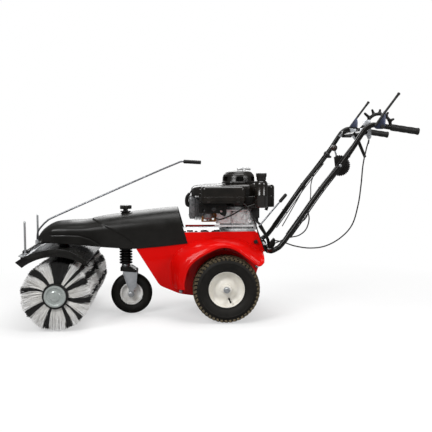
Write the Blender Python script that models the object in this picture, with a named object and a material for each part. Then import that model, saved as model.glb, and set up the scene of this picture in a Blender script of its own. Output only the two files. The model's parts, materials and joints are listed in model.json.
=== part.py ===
"""Walk-behind sweeper with a powered front brush, in metres.

X runs from the brush (front) to the handlebar (rear), Y across the machine, Z up.
The layout values below count X from the wheel axle; MIDDLE_OFFSET then puts the
middle of the overall length at the origin. The floor is Z = 0.
"""
import math

import bmesh
import bpy
from mathutils import Matrix, Vector

# ---------------------------------------------------------------- driving dimensions
CLEARANCE = 0.0003
SHEET = 0.003
MIDDLE_OFFSET = 0.0198

# drive wheels
WHEEL_RADIUS = 0.165
WHEEL_WIDTH = 0.124
WHEEL_TRACK = 0.430
RIM_RADIUS = 0.088
AXLE_RADIUS = 0.010
AXLE_TUBE_RADIUS = 0.028

# red body: two side plates with flared fenders, deck and rear panel
BODY_WIDTH = 0.284
FENDER_OUTER_Y = 0.280
FENDER_LIP = 0.012
FENDER_SHEET = 0.0025
DECK_TOP = 0.435
DECK_FRONT_X = -0.215
DECK_REAR_X = 0.152

# frame tray, hood and drive line under the hood
FRAME_TOP = 0.394
FRAME_FRONT_X = -0.905
FRAME_REAR_X = 0.130
FRAME_FLANGE = 0.014
HOOD_WALL = 0.003
HOOD_SEAT_GAP = 0.0005
FRAME_SIDE_GAP = 0.004
BELT_Z = 0.417
BELT_WIDTH = 0.012
BELT_THICKNESS = 0.006
ENGINE_PULLEY_RADIUS = 0.042
BRUSH_PULLEY_RADIUS = 0.064
CRANK_X = 0.078
CRANK_RADIUS = 0.011

# brush head, turning about the vertical pivot
BRUSH_X = -0.800
PIVOT_X = BRUSH_X - 0.020
NECK_RADIUS = 0.023
PIVOT_WALL = 0.008
PIVOT_BOTTOM = 0.3608
BRUSH_Z = 0.168
BRUSH_RADIUS = 0.165
BRUSH_WIDTH = 0.800
BRUSH_GAP = 0.088
BRUSH_SHAFT_RADIUS = 0.015
BACKING_RADIUS = 0.052
BACKING_WALL = 0.009
BRISTLE_WEDGES = 24
BRISTLE_ROWS = 5
BRISTLE_LEAN = 7.0
BRISTLE_TIP = 0.60
BRISTLE_TIP_LENGTH = 0.30
END_CAP_RADIUS = 0.054
HEAD_NECK_TOP = 0.3925
INPUT_SHAFT_RADIUS = 0.0115
GUARD_X = BRUSH_X + 0.005
GUARD_Z = 0.108
GUARD_RADIUS = 0.2505
GUARD_WIDTH = 0.820
GUARD_SPAN = (57.0, 127.0)
FLANGE_RADIUS = 0.285
FLANGE_SPAN = (51.5, 129.0)
RAIL_TOP = 0.358
RAIL_FRONT_X = GUARD_X - 0.167
RAIL_DEPTH = 0.040
RAIL_WIDTH = 0.780
RAIL_THICKNESS = 0.005
PIN_RADIUS = 0.005
PIN_TOP = 0.514
EAR_TOP = 0.386
ROD_RADIUS = 0.0045
SWIVEL_GRIP_RADIUS = 0.010

# front caster wheel on its height spindle
CASTER_X = -0.503
CASTER_TRAIL = 0.028
CASTER_RADIUS = 0.106
CASTER_WIDTH = 0.062
CASTER_RIM_RADIUS = 0.058
CASTER_AXLE_RADIUS = 0.008
HOUSING_RADIUS = 0.020
HOUSING_BOTTOM = 0.3435
HOUSING_TOP = 0.532
STEM_RADIUS = 0.0135
SPINDLE_RADIUS = 0.006
CROWN_TOP = 0.247
CROWN_BOTTOM = 0.230
BELLOWS_RADIUS = 0.030
BELLOWS_RIBS = 6
BELLOWS_BOTTOM = 0.2585
KNOB_RADIUS = 0.0315
KNOB_TOP = 0.561
KNOB_LOBES = 5

# engine on the deck
ENGINE_FOOT = 0.012
CRANKCASE_RADIUS = 0.104
CRANKCASE_TOP = 0.557
SHROUD_TOP = 0.672
RECOIL_TOP = 0.735
RECOIL_RADIUS = 0.086
HEAD_FINS = 6
TANK_TOP = 0.692
TANK_BOTTOM = 0.556
CAP_RADIUS = 0.027
POT_RADIUS = 0.032
TANK_NECK_RADIUS = 0.019
CAP_CENTRE = (0.178, -0.151, 0)
STARTER_X = 0.106

# handlebar
TUBE_RADIUS = 0.0125
HANDLE_TRACK = 0.490
HANDLE_BASE_X = 0.216
HANDLE_BASE_Z = 0.347
BEND_RADIUS = 0.038
GRIP_RADIUS = 0.0165
GRIP_LENGTH = 0.138
CROSSBAR_RADIUS = 0.010
LEVER_ARM_RADIUS = 0.0045
LEVER_PLATE = 0.004
GATE_THICKNESS = 0.005
QUADRANT_RADIUS = 0.060
QUADRANT_TEETH = 11
CABLE_RADIUS = 0.0025
LEVER_PIVOT = (0.748, 0.952)
QUADRANT_CENTRE = (0.557, 0.765)
QUADRANT_PIN_RADIUS = 0.006



def clear_bore(radius, segments):
    """Radius of a faceted bore whose flats clear a shaft of the given radius."""
    return (radius + CLEARANCE) / math.cos(math.pi / segments)


PIVOT_BORE = clear_bore(NECK_RADIUS, 12)
HALF_BODY = BODY_WIDTH / 2
HALF_TRACK = WHEEL_TRACK / 2
HALF_HANDLE = HANDLE_TRACK / 2
CABLE_Y = -HALF_HANDLE + 0.055
RELEASE_Y = CABLE_Y + 0.040
AXLE_Z = WHEEL_RADIUS
FRAME_BOTTOM = FRAME_TOP - SHEET - 0.001

# outlines seen from the side, as (X, Z)
SIDE_PLATE = [
    (-0.446, 0.359), (-0.327, 0.168), (-0.231, 0.127), (-0.167, 0.1165), (0.100, 0.1165),
    (0.145, 0.160), (0.157, 0.230), (0.173, 0.2725), (0.1815, 0.305), (0.195, 0.333),
    (0.159, 0.437), (-0.200, 0.434), (-0.300, 0.415), (-0.400, 0.400), (-0.446, 0.385),
]
FENDER_EDGE = [
    (-0.215, 0.171), (-0.215, 0.210), (-0.193, 0.282), (-0.144, 0.331), (-0.061, 0.375),
    (-0.0055, 0.3855), (0.049, 0.369), (0.105, 0.329), (0.1605, 0.290), (0.180, 0.298),
]
FENDER_ROOT = [
    (-0.262, 0.171), (-0.270, 0.225), (-0.262, 0.300), (-0.222, 0.350), (-0.150, 0.385),
    (-0.060, 0.404), (0.020, 0.404), (0.090, 0.388), (0.148, 0.350), (0.186, 0.335),
]
# hood stations: X at the top, X at the bottom edge, top Z, bottom Z, width share
# the nose of the hood lies over the brush head, so its stations are taken from BRUSH_X
HOOD_NOSE = [
    (-0.138, 0.400, 0.388, 0.36), (-0.130, 0.421, 0.388, 0.56), (-0.105, 0.453, 0.387, 0.75),
    (-0.057, 0.481, 0.384, 0.885), (0.014, 0.489, 0.379, 0.93), (0.106, 0.494, 0.370, 0.945),
    (0.200, 0.510, 0.361, 0.965),
]
HOOD_STATIONS = [
    *[(BRUSH_X + dx, BRUSH_X + dx, top, bottom, share) for dx, top, bottom, share in HOOD_NOSE],
    (-0.510, -0.510, 0.523, 0.355, 0.985), (-0.450, -0.450, 0.531, 0.353, 1.0),
    (-0.334, -0.314, 0.544, 0.365, 1.0), (-0.237, -0.187, 0.5525, 0.379, 1.0),
]
SWIVEL_ROD = [
    (RAIL_FRONT_X + 0.010, 0.3625), (RAIL_FRONT_X + 0.009, 0.394),
    (RAIL_FRONT_X + 0.013, 0.425), (-0.933, 0.450), (-0.902, 0.481),
    (-0.861, 0.504), (-0.632, 0.605), (-0.376, 0.717), (-0.243, 0.773), (-0.207, 0.7835),
    (-0.119, 0.779),
]
HANDLE_PATH = [
    (0.240, 0.361), (0.284, 0.404), (0.453, 0.645), (0.573, 0.797), (0.654, 0.919),
    (0.673, 0.943), (0.694, 0.957), (0.721, 0.960), (0.795, 0.949), (0.929, 0.9295),
]
LONG_CABLE = [
    (0.7032, 0.8912), (0.690, 0.841), (0.676, 0.767), (0.668, 0.669), (0.655, 0.570),
    (0.626, 0.471), (0.567, 0.406), (0.493, 0.367), (0.418, 0.3575), (0.343, 0.368),
    (0.284, 0.388), (0.2445, 0.396),
]
PANEL_TOP = (0.1575, 0.432)
PANEL_KNEE = (0.1905, 0.334)
LOOP_CABLE = [
    (0.405, 0.545), (0.413, 0.500), (0.398, 0.450), (0.362, 0.420), (0.310, 0.408),
    (0.2445, 0.382),
]
THROTTLE_CABLE = [
    (0.088, 0.578), (0.112, 0.556), (0.138, 0.504), (0.163, 0.434), (0.1835, 0.379),
    (0.200, 0.344),
]

# colours (sRGB hex), roughness, metallic
FINISHES = {
    "red_paint": ("D01512", 0.30, 0.0), "black_plastic": ("252423", 0.45, 0.0),
    "black_paint": ("1B1B1A", 0.35, 0.0), "zinc": ("C4C6C8", 0.35, 0.9),
    "cast_aluminium": ("B9BABC", 0.50, 0.9), "tyre_rubber": ("2C2B29", 0.85, 0.0),
    "cream_paint": ("E3DFD6", 0.40, 0.0), "white_bristle": ("E4E2DE", 0.60, 0.0),
    "black_bristle": ("1D1D1C", 0.60, 0.0), "grip_rubber": ("201F1E", 0.75, 0.0),
    "belt_rubber": ("141414", 0.80, 0.0), "dark_steel": ("4A4A4C", 0.45, 0.9),
    "blue_steel": ("3C4257", 0.40, 0.5), "cable_sheath": ("161616", 0.55, 0.0),
}


# ---------------------------------------------------------------- modelling helpers
def finish(name):
    """The Principled material of one finish, made once."""
    if name in bpy.data.materials:
        return bpy.data.materials[name]
    code, roughness, metallic = FINISHES[name]
    srgb = [int(code[i:i + 2], 16) / 255 for i in (0, 2, 4)]
    linear = [c / 12.92 if c < 0.04045 else ((c + 0.055) / 1.055) ** 2.4 for c in srgb]
    material = bpy.data.materials.new(name)
    material.use_nodes = True
    shader = material.node_tree.nodes["Principled BSDF"]
    shader.inputs["Base Color"].default_value = (*linear, 1.0)
    shader.inputs["Roughness"].default_value = roughness
    shader.inputs["Metallic"].default_value = metallic
    material.diffuse_color = (*linear, 1.0)
    return material


def add_body(name, anchor, parent=None):
    """An empty on a joint's axis; the pieces of that body hang from it."""
    empty = bpy.data.objects.new(name, None)
    empty.empty_display_size = 0.05
    bpy.context.collection.objects.link(empty)
    empty["anchor"] = Vector(anchor)
    if parent is None:
        empty.location = Vector(anchor) + Vector((MIDDLE_OFFSET, 0, 0))
    else:
        empty.parent = parent
        empty.location = Vector(anchor) - Vector(parent["anchor"])
    return empty


def add_mesh(name, bm, material, body):
    """Turn a bmesh in layout coordinates into an object that hangs from its body."""
    bmesh.ops.recalc_face_normals(bm, faces=bm.faces)
    bmesh.ops.translate(bm, verts=bm.verts, vec=-Vector(body["anchor"]))
    mesh = bpy.data.meshes.new(name)
    bm.to_mesh(mesh)
    bm.free()
    mesh.materials.append(finish(material))
    mesh.shade_smooth()
    mesh.set_sharp_from_angle(angle=math.radians(32))
    piece = bpy.data.objects.new(name, mesh)
    piece.parent = body
    bpy.context.collection.objects.link(piece)
    return piece


def add_piece(name, bm, material, body, joins=(), cuts=(), pins=()):
    """One sub-part: a base solid, solids joined to it, solids cut from it, then pins joined."""
    piece = add_mesh(name, bm, material, body)
    steps = [("UNION", solid) for solid in joins]
    steps += [("DIFFERENCE", solid) for solid in cuts]
    steps += [("UNION", solid) for solid in pins]
    for number, (kind, solid) in enumerate(steps):
        tool = add_mesh(f"{name}_tool_{number}", solid, material, body)
        tool.hide_render = True
        tool.display_type = "WIRE"
        boolean = piece.modifiers.new(f"{kind.lower()} {number}", "BOOLEAN")
        boolean.operation = kind
        boolean.object = tool
    return piece


def turned(profile, centre=(0, 0, 0), axis=(0, 0, 1), segments=12):
    """Solid of revolution from (radius, height) points, closed or ending on the axis."""
    bm = bmesh.new()
    rings = []
    for radius, height in profile:
        if radius < 1e-6:
            rings.append([bm.verts.new((0, 0, height))])
            continue
        angles = [2 * math.pi * step / segments for step in range(segments)]
        rings.append([bm.verts.new((radius * math.cos(a), radius * math.sin(a), height))
                      for a in angles])
    closed = profile[0][0] > 1e-6
    following = rings[1:] + rings[:1] if closed else rings[1:]
    for ring, other in zip(rings, following):
        for i in range(segments):
            j = (i + 1) % segments
            corners = [ring[i % len(ring)], ring[j % len(ring)],
                       other[j % len(other)], other[i % len(other)]]
            bm.faces.new(list(dict.fromkeys(corners)))
    turn = Vector((0, 0, 1)).rotation_difference(Vector(axis)).to_matrix().to_4x4()
    bmesh.ops.transform(bm, matrix=Matrix.Translation(centre) @ turn, verts=bm.verts)
    return bm


def cylinder(radius, low, high, centre=(0, 0, 0), axis=(0, 0, 1), segments=12):
    """Plain round bar from low to high along its axis, measured from centre."""
    return turned([(0, low), (radius, low), (radius, high), (0, high)], centre, axis, segments)


def pipe(outer, inner, low, high, centre=(0, 0, 0), axis=(0, 0, 1), segments=12):
    """Straight tube wall."""
    profile = [(inner, low), (outer, low), (outer, high), (inner, high)]
    return turned(profile, centre, axis, segments)


def prism(outline, low, high, plane="XZ"):
    """Outline extruded between low and high along the axis square to its plane."""
    bm = bmesh.new()
    spread = {"XZ": lambda a, b, c: (a, c, b), "XY": lambda a, b, c: (a, b, c),
              "YZ": lambda a, b, c: (c, a, b)}[plane]
    near = [bm.verts.new(spread(a, b, low)) for a, b in outline]
    far = [bm.verts.new(spread(a, b, high)) for a, b in outline]
    bm.faces.new(near)
    bm.faces.new(list(reversed(far)))
    for i in range(len(outline)):
        j = (i + 1) % len(outline)
        bm.faces.new([near[j], near[i], far[i], far[j]])
    return bm


def block(x0, x1, y0, y1, z0, z1, bevel=0.0, steps=2):
    """Box with rounded edges."""
    bm = prism([(x0, z0), (x1, z0), (x1, z1), (x0, z1)], y0, y1)
    if bevel:
        bmesh.ops.recalc_face_normals(bm, faces=bm.faces)
        bmesh.ops.bevel(bm, geom=bm.edges[:], offset=bevel, segments=steps, profile=0.5,
                        affect="EDGES", clamp_overlap=True)
    return bm


def loft(sections):
    """Closed skin through loops of equal point count, capped at both ends."""
    bm = bmesh.new()
    loops = [[bm.verts.new(p) for p in section] for section in sections]
    count = len(loops[0])
    bm.faces.new(loops[0])
    bm.faces.new(list(reversed(loops[-1])))
    for loop, other in zip(loops, loops[1:]):
        for i in range(count):
            j = (i + 1) % count
            bm.faces.new([loop[j], loop[i], other[i], other[j]])
    return bm


def sweep(points, radius, sides=8, radii=None):
    """Round bar along a path of 3-D points; radii gives each point's own radius."""
    points = [Vector(p) for p in points]
    sizes = radii or [radius] * len(points)
    last = len(points) - 1
    tangents = [(points[min(i + 1, last)] - points[max(i - 1, 0)]).normalized()
                for i in range(last + 1)]
    side = tangents[0].cross(Vector((0.123, 1.0, 0.077))).normalized()
    sections = []
    for point, tangent, size in zip(points, tangents, sizes):
        side = (side - tangent * side.dot(tangent)).normalized()
        up = tangent.cross(side)
        sections.append([point + size * (math.cos(a) * side + math.sin(a) * up)
                         for a in (2 * math.pi * k / sides for k in range(sides))])
    return loft(sections)


def smooth_route(points, spacing):
    """Points about one spacing apart on a smooth curve through the given ones."""
    points = [Vector(p) for p in points]
    padded = [2 * points[0] - points[1], *points, 2 * points[-1] - points[-2]]
    route = []
    for a, b, c, d in zip(padded, padded[1:], padded[2:], padded[3:]):
        steps = max(1, round((c - b).length / spacing))
        for step in range(steps):
            t = step / steps
            route.append(0.5 * (2 * b + (c - a) * t + (2 * a - 5 * b + 4 * c - d) * t ** 2
                                + (3 * b - 3 * c + d - a) * t ** 3))
    route.append(points[-1])
    return route


def in_plane(points, y):
    """Lift (X, Z) side-view points into the upright plane at y."""
    return [(x, y, z) for x, z in points]


def arc(centre, radius, start, stop, steps):
    """Points along a circular arc, angles in degrees from +X towards +Z."""
    angles = [math.radians(start + (stop - start) * k / steps) for k in range(steps + 1)]
    return [(centre[0] + radius * math.cos(a), centre[1] + radius * math.sin(a)) for a in angles]


def beside(start, stop, share, distance):
    """Point a share of the way along a side-view line, pushed off to its rear side."""
    run, fall = stop[0] - start[0], stop[1] - start[1]
    length = math.hypot(run, fall)
    return (start[0] + run * share - fall / length * distance,
            start[1] + fall * share + run / length * distance)


def mirrored(bm, side):
    """Flip a left-hand (-Y) solid to the right-hand side when side is +1."""
    if side > 0:
        bmesh.ops.scale(bm, vec=(1, -1, 1), verts=bm.verts)
        bmesh.ops.reverse_faces(bm, faces=bm.faces)
    return bm


def add_cable(name, points, body):
    """Sheathed control cable as a bevelled curve along a smooth route."""
    curve = bpy.data.curves.new(name, "CURVE")
    curve.dimensions = "3D"
    curve.bevel_depth = CABLE_RADIUS
    curve.bevel_resolution = 1
    curve.use_fill_caps = True
    spline = curve.splines.new("POLY")
    route = [p - Vector(body["anchor"]) for p in smooth_route(points, 12 * CABLE_RADIUS)]
    spline.points.add(len(route) - 1)
    for point, place in zip(spline.points, route):
        point.co = (*place, 1.0)
    curve.materials.append(finish("cable_sheath"))
    cable = bpy.data.objects.new(name, curve)
    cable.parent = body
    bpy.context.collection.objects.link(cable)
    return cable


# ---------------------------------------------------------------- body and frame
def hood_half_width(x):
    """Outer half width of the hood at X, from its stations."""
    full = HALF_BODY + HOOD_SEAT_GAP + HOOD_WALL
    for (x0, _, _, _, w0), (x1, _, _, _, w1) in zip(HOOD_STATIONS, HOOD_STATIONS[1:]):
        if x <= x1:
            share = max(0.0, (x - x0) / (x1 - x0))
            return full * (w0 + (w1 - w0) * share)
    return full


def hood_section(station, inset, drop):
    """One cross-section of the hood: upright sides under an elliptic crown."""
    x_top, x_bottom, z_top, z_bottom, share = station
    half = (HALF_BODY + HOOD_SEAT_GAP + HOOD_WALL) * share - inset
    top = z_top - inset
    low = z_bottom - drop
    waist = z_bottom + 0.55 * (z_top - z_bottom)
    crown = [(half * math.cos(a), waist + (top - waist) * math.sin(a))
             for a in (math.pi * k / 6 for k in range(7))]
    outline = [(half, low), *crown, (-half, low)]
    rise = z_top - z_bottom
    return [(x_bottom + (x_top - x_bottom) * (z - z_bottom) / rise, y, z) for y, z in outline]


def build_hood(body):
    outer = loft([hood_section(station, 0.0, 0.0) for station in HOOD_STATIONS])
    inner_stations = [(x0 + HOOD_WALL, x1 + HOOD_WALL, zt, zb, w)
                      for x0, x1, zt, zb, w in HOOD_STATIONS[1:]]
    x0, x1, z_top, z_bottom, share = inner_stations[-1]
    overrun = 0.02
    inner_stations.append((x0 + overrun, x1 + overrun, z_top, z_bottom, share))
    inner = loft([hood_section(station, HOOD_WALL, overrun) for station in inner_stations])
    spindle_hole = cylinder(clear_bore(HOUSING_RADIUS, 12), 0.45, 0.60, (CASTER_X, 0, 0))
    add_piece("hood", outer, "black_plastic", body, cuts=[inner, spindle_hole])


def build_frame(body):
    """Pressed tray under the hood, with a rim turned down all round."""
    stations = [FRAME_FRONT_X + (FRAME_REAR_X - FRAME_FRONT_X) * k / 12 for k in range(13)]
    inset = HOOD_WALL + FRAME_SIDE_GAP
    inside_plates = HALF_BODY - SHEET - CLEARANCE
    halves = [min(hood_half_width(x) - inset, inside_plates) for x in stations]
    right = list(zip(stations, halves))
    left = [(x, -half) for x, half in reversed(right)]
    tray = prism(right + left, FRAME_TOP - FRAME_FLANGE, FRAME_TOP, "XY")
    inner_right = [(max(x, FRAME_FRONT_X + SHEET), half - SHEET) for x, half in right]
    inner_right[-1] = (FRAME_REAR_X - SHEET, inner_right[-1][1])
    inner_left = [(x, -half) for x, half in reversed(inner_right)]
    hollow = prism(inner_right + inner_left, FRAME_TOP - FRAME_FLANGE - 0.01, FRAME_BOTTOM, "XY")
    housing_hole = cylinder(clear_bore(HOUSING_RADIUS, 12), 0.3, 0.5, (CASTER_X, 0, 0))
    pivot_hole = cylinder(PIVOT_BORE, 0.3, 0.5, (PIVOT_X, 0, 0), segments=12)
    add_piece("main_frame", tray, "black_paint", body, cuts=[hollow, housing_hole, pivot_hole])

    flange_radius = PIVOT_BORE + 3 * PIVOT_WALL
    low, high = PIVOT_BOTTOM, FRAME_BOTTOM - CLEARANCE
    housing = [(PIVOT_BORE, low), (PIVOT_BORE + PIVOT_WALL, low),
               (PIVOT_BORE + PIVOT_WALL, high - 0.006), (flange_radius, high - 0.006),
               (flange_radius, high), (PIVOT_BORE, high)]
    add_piece("pivot_housing", turned(housing, (PIVOT_X, 0, 0), segments=12), "black_paint", body)

    collar = HOUSING_RADIUS + 0.014
    bore = clear_bore(STEM_RADIUS, 12)
    spindle_bore = clear_bore(SPINDLE_RADIUS, 12)
    top = FRAME_BOTTOM - CLEARANCE
    tube = [(bore, HOUSING_BOTTOM), (HOUSING_RADIUS, HOUSING_BOTTOM), (HOUSING_RADIUS, top - 0.005),
            (collar, top - 0.005), (collar, top), (HOUSING_RADIUS, top),
            (HOUSING_RADIUS, HOUSING_TOP - 0.004), (HOUSING_RADIUS + 0.006, HOUSING_TOP - 0.003),
            (HOUSING_RADIUS + 0.006, HOUSING_TOP), (spindle_bore, HOUSING_TOP),
            (spindle_bore, 0.508), (bore, 0.508)]
    add_piece("caster_housing", turned(tube, (CASTER_X, 0, 0), segments=12), "black_paint", body)


def fender_sections():
    """Loops across the flared fender of the left (-Y) side, front to rear."""
    root = smooth_route(in_plane(FENDER_ROOT, 0.0), 0.08)
    edge_curve = smooth_route(in_plane(FENDER_EDGE, 0.0), 0.010)
    hub = Vector((0, 0, AXLE_Z))
    sections = []
    for number, inner in enumerate(root):
        share = number / (len(root) - 1)
        edge = edge_curve[round(share * (len(edge_curve) - 1))]
        shape = [(0.0, HALF_BODY - 0.0015), (0.22, HALF_BODY + 0.072),
                 (0.58, FENDER_OUTER_Y - 0.018), (1.0, FENDER_OUTER_Y)]
        outside = [Vector((*(inner.lerp(edge, u)).xz, -y)).xzy for u, y in shape]
        lip = outside[-1] + (hub - edge).normalized() * FENDER_LIP
        skin = [*outside, Vector((lip.x, -FENDER_OUTER_Y, lip.z))]
        inward = (hub - edge).normalized() * FENDER_SHEET
        under = [p + inward for p in outside[:-1]]
        back = skin[-1] + Vector((0, FENDER_SHEET, 0))
        corner = outside[-1] + inward + Vector((0, FENDER_SHEET, 0))
        sections.append([*skin, back, corner, *reversed(under)])
    return sections


def build_body(body):
    names = {-1: "body_side_left", 1: "body_side_right"}
    for side, name in names.items():
        plate = prism(SIDE_PLATE, -HALF_BODY, -HALF_BODY + SHEET)
        fender = loft(fender_sections())
        axle_hole = cylinder(clear_bore(AXLE_TUBE_RADIUS, 12), -0.2, -0.1, (0, 0, AXLE_Z),
                             (0, 1, 0))
        knob_hole = cylinder(0.006, -0.2, -0.1, (0.085, 0, 0.405), (0, 1, 0), 12)
        parts = [mirrored(bm, side) for bm in (plate, fender, axle_hole, knob_hole)]
        add_piece(name, parts[0], "red_paint", body, joins=[parts[1]], cuts=parts[2:])

    inside = HALF_BODY - SHEET - CLEARANCE
    low = DECK_TOP - SHEET
    deck = [(DECK_FRONT_X, low - 0.006), (DECK_FRONT_X + SHEET, low - 0.006),
            (DECK_FRONT_X + SHEET, low), (DECK_REAR_X, low), (DECK_REAR_X, DECK_TOP),
            (DECK_FRONT_X, DECK_TOP)]
    crank_hole = cylinder(0.030, 0.40, 0.46, (CRANK_X, 0, 0), segments=12)
    add_piece("deck_plate", prism(deck, -inside, inside), "zinc", body, cuts=[crank_hole])

    outer = [PANEL_TOP, PANEL_KNEE, (0.1775, 0.305), (0.152, 0.235)]
    inner = [(x - SHEET, z) for x, z in reversed(outer)]
    add_piece("rear_panel", prism(outer + inner, -inside, inside), "red_paint", body)


def build_gearbox(body):
    """Wheel gearbox casting with its two axle tubes."""
    reach = HALF_BODY + 0.006
    tube = AXLE_TUBE_RADIUS
    casing = [(0, -reach), (tube, -reach), (tube, -0.062), (0.042, -0.050), (0.062, -0.034),
              (0.062, 0.034), (0.042, 0.050), (tube, 0.062), (tube, reach), (0, reach)]
    shaft_bore = cylinder(clear_bore(AXLE_RADIUS, 12), -0.2, 0.2, (0, 0, AXLE_Z), (0, 1, 0), 12)
    post = block(-0.024, 0.024, -0.020, 0.020, AXLE_Z + 0.04, FRAME_BOTTOM - CLEARANCE, 0.004, 1)
    add_piece("drive_gearbox", turned(casing, (0, 0, AXLE_Z), (0, 1, 0), 12), "cast_aluminium",
              body, joins=[post], cuts=[shaft_bore])


def build_drive_line(body, crank_body, input_body):
    """Belt under the hood, the engine's pulley and the brush's pulley."""
    gap = 0.0005
    span = CRANK_X - PIVOT_X
    rise = (BRUSH_PULLEY_RADIUS - ENGINE_PULLEY_RADIUS) / span
    lean = math.degrees(math.asin(rise))

    def belt_loop(extra):
        front = arc((PIVOT_X, 0), BRUSH_PULLEY_RADIUS + extra, 90 - lean, 270 + lean, 14)
        rear = arc((CRANK_X, 0), ENGINE_PULLEY_RADIUS + extra, -90 + lean, 90 - lean, 10)
        return front + rear

    low, high = BELT_Z - BELT_WIDTH / 2, BELT_Z + BELT_WIDTH / 2
    belt = prism(belt_loop(BELT_THICKNESS), low, high, "XY")
    middle = prism(belt_loop(gap), low - 0.01, high + 0.01, "XY")
    add_piece("drive_belt", belt, "belt_rubber", body, cuts=[middle])

    def pulley(radius, shaft_x, bottom, top):
        rim = radius + BELT_THICKNESS + 0.002
        hub = 0.018
        flange = 0.0025
        low_lip, high_lip = low - gap, high + gap
        profile = [(0, bottom), (hub, bottom), (hub, low_lip - flange), (rim, low_lip - flange),
                   (rim, low_lip), (radius, low_lip), (radius, high_lip), (rim, high_lip),
                   (rim, high_lip + flange), (hub, high_lip + flange), (hub, top), (0, top)]
        return turned(profile, (shaft_x, 0, 0))

    foot = FRAME_TOP + CLEARANCE
    engine_pulley = pulley(ENGINE_PULLEY_RADIUS, CRANK_X, foot, high + 0.004)
    crank = cylinder(CRANK_RADIUS, BELT_Z, DECK_TOP + ENGINE_FOOT + 0.02, (CRANK_X, 0, 0))
    add_piece("engine_pulley", engine_pulley, "dark_steel", crank_body, joins=[crank])
    brush_pulley = pulley(BRUSH_PULLEY_RADIUS, PIVOT_X, foot, high + 0.006)
    shaft = cylinder(INPUT_SHAFT_RADIUS, BRUSH_Z + 0.035, BELT_Z, (PIVOT_X, 0, 0))
    add_piece("brush_pulley", brush_pulley, "dark_steel", input_body, joins=[shaft])


# ---------------------------------------------------------------- wheels
def tyre_profile(radius, width, bead, grooves, segments):
    """Tyre section as (radius, half-width side) loop, with grooves round the tread."""
    half = width / 2
    seat = clear_bore(bead, segments)
    wall = radius - bead
    side = [(seat, half * 0.72), (bead + 0.30 * wall, half * 0.95), (bead + 0.62 * wall, half),
            (bead + 0.93 * wall, half * 0.82)]
    crown = []
    for k in range(grooves):
        y = half * 0.62 * (1 - 2 * (k + 0.5) / grooves)
        crown += [(radius, y + 0.0045), (radius - 0.005, y + 0.002),
                  (radius - 0.005, y - 0.002), (radius, y - 0.0045)]
    other = [(r, -y) for r, y in reversed(side)]
    return side + crown + other


def rim_profile(radius, width, bore, hub, dish, wall=0.0035):
    """Pressed steel rim with a dished disc and a hub, outer face at +height."""
    half = width * 0.36
    return [(bore, -hub), (bore + 0.013, -hub), (bore + 0.013, dish - 2 * wall),
            (radius * 0.62, dish - 2.6 * wall), (radius - wall, dish - wall), (radius - wall, -half),
            (radius, -half), (radius, half), (radius - wall, half), (radius - wall, dish + wall),
            (radius * 0.62, dish - 0.6 * wall), (bore + 0.016, dish), (bore + 0.013, hub),
            (bore, hub)]


def build_wheel(side, body):
    suffix = "left" if side < 0 else "right"
    centre = (0, side * HALF_TRACK, AXLE_Z)
    axis = (0, side, 0)
    tyre = turned(tyre_profile(WHEEL_RADIUS, WHEEL_WIDTH, RIM_RADIUS, 1, 24), centre, axis, 24)
    add_piece(f"wheel_tyre_{suffix}", tyre, "tyre_rubber", body)
    hub = WHEEL_WIDTH * 0.40
    rim = turned(rim_profile(RIM_RADIUS, WHEEL_WIDTH, AXLE_RADIUS - 0.002, hub, 0.018), centre,
                 axis, 16)
    stub_inner = HALF_TRACK - 0.004
    stub = cylinder(AXLE_RADIUS, -stub_inner, hub + 0.012, centre, axis, 12)
    add_piece(f"wheel_rim_{suffix}", rim, "cream_paint", body, joins=[stub])


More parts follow.
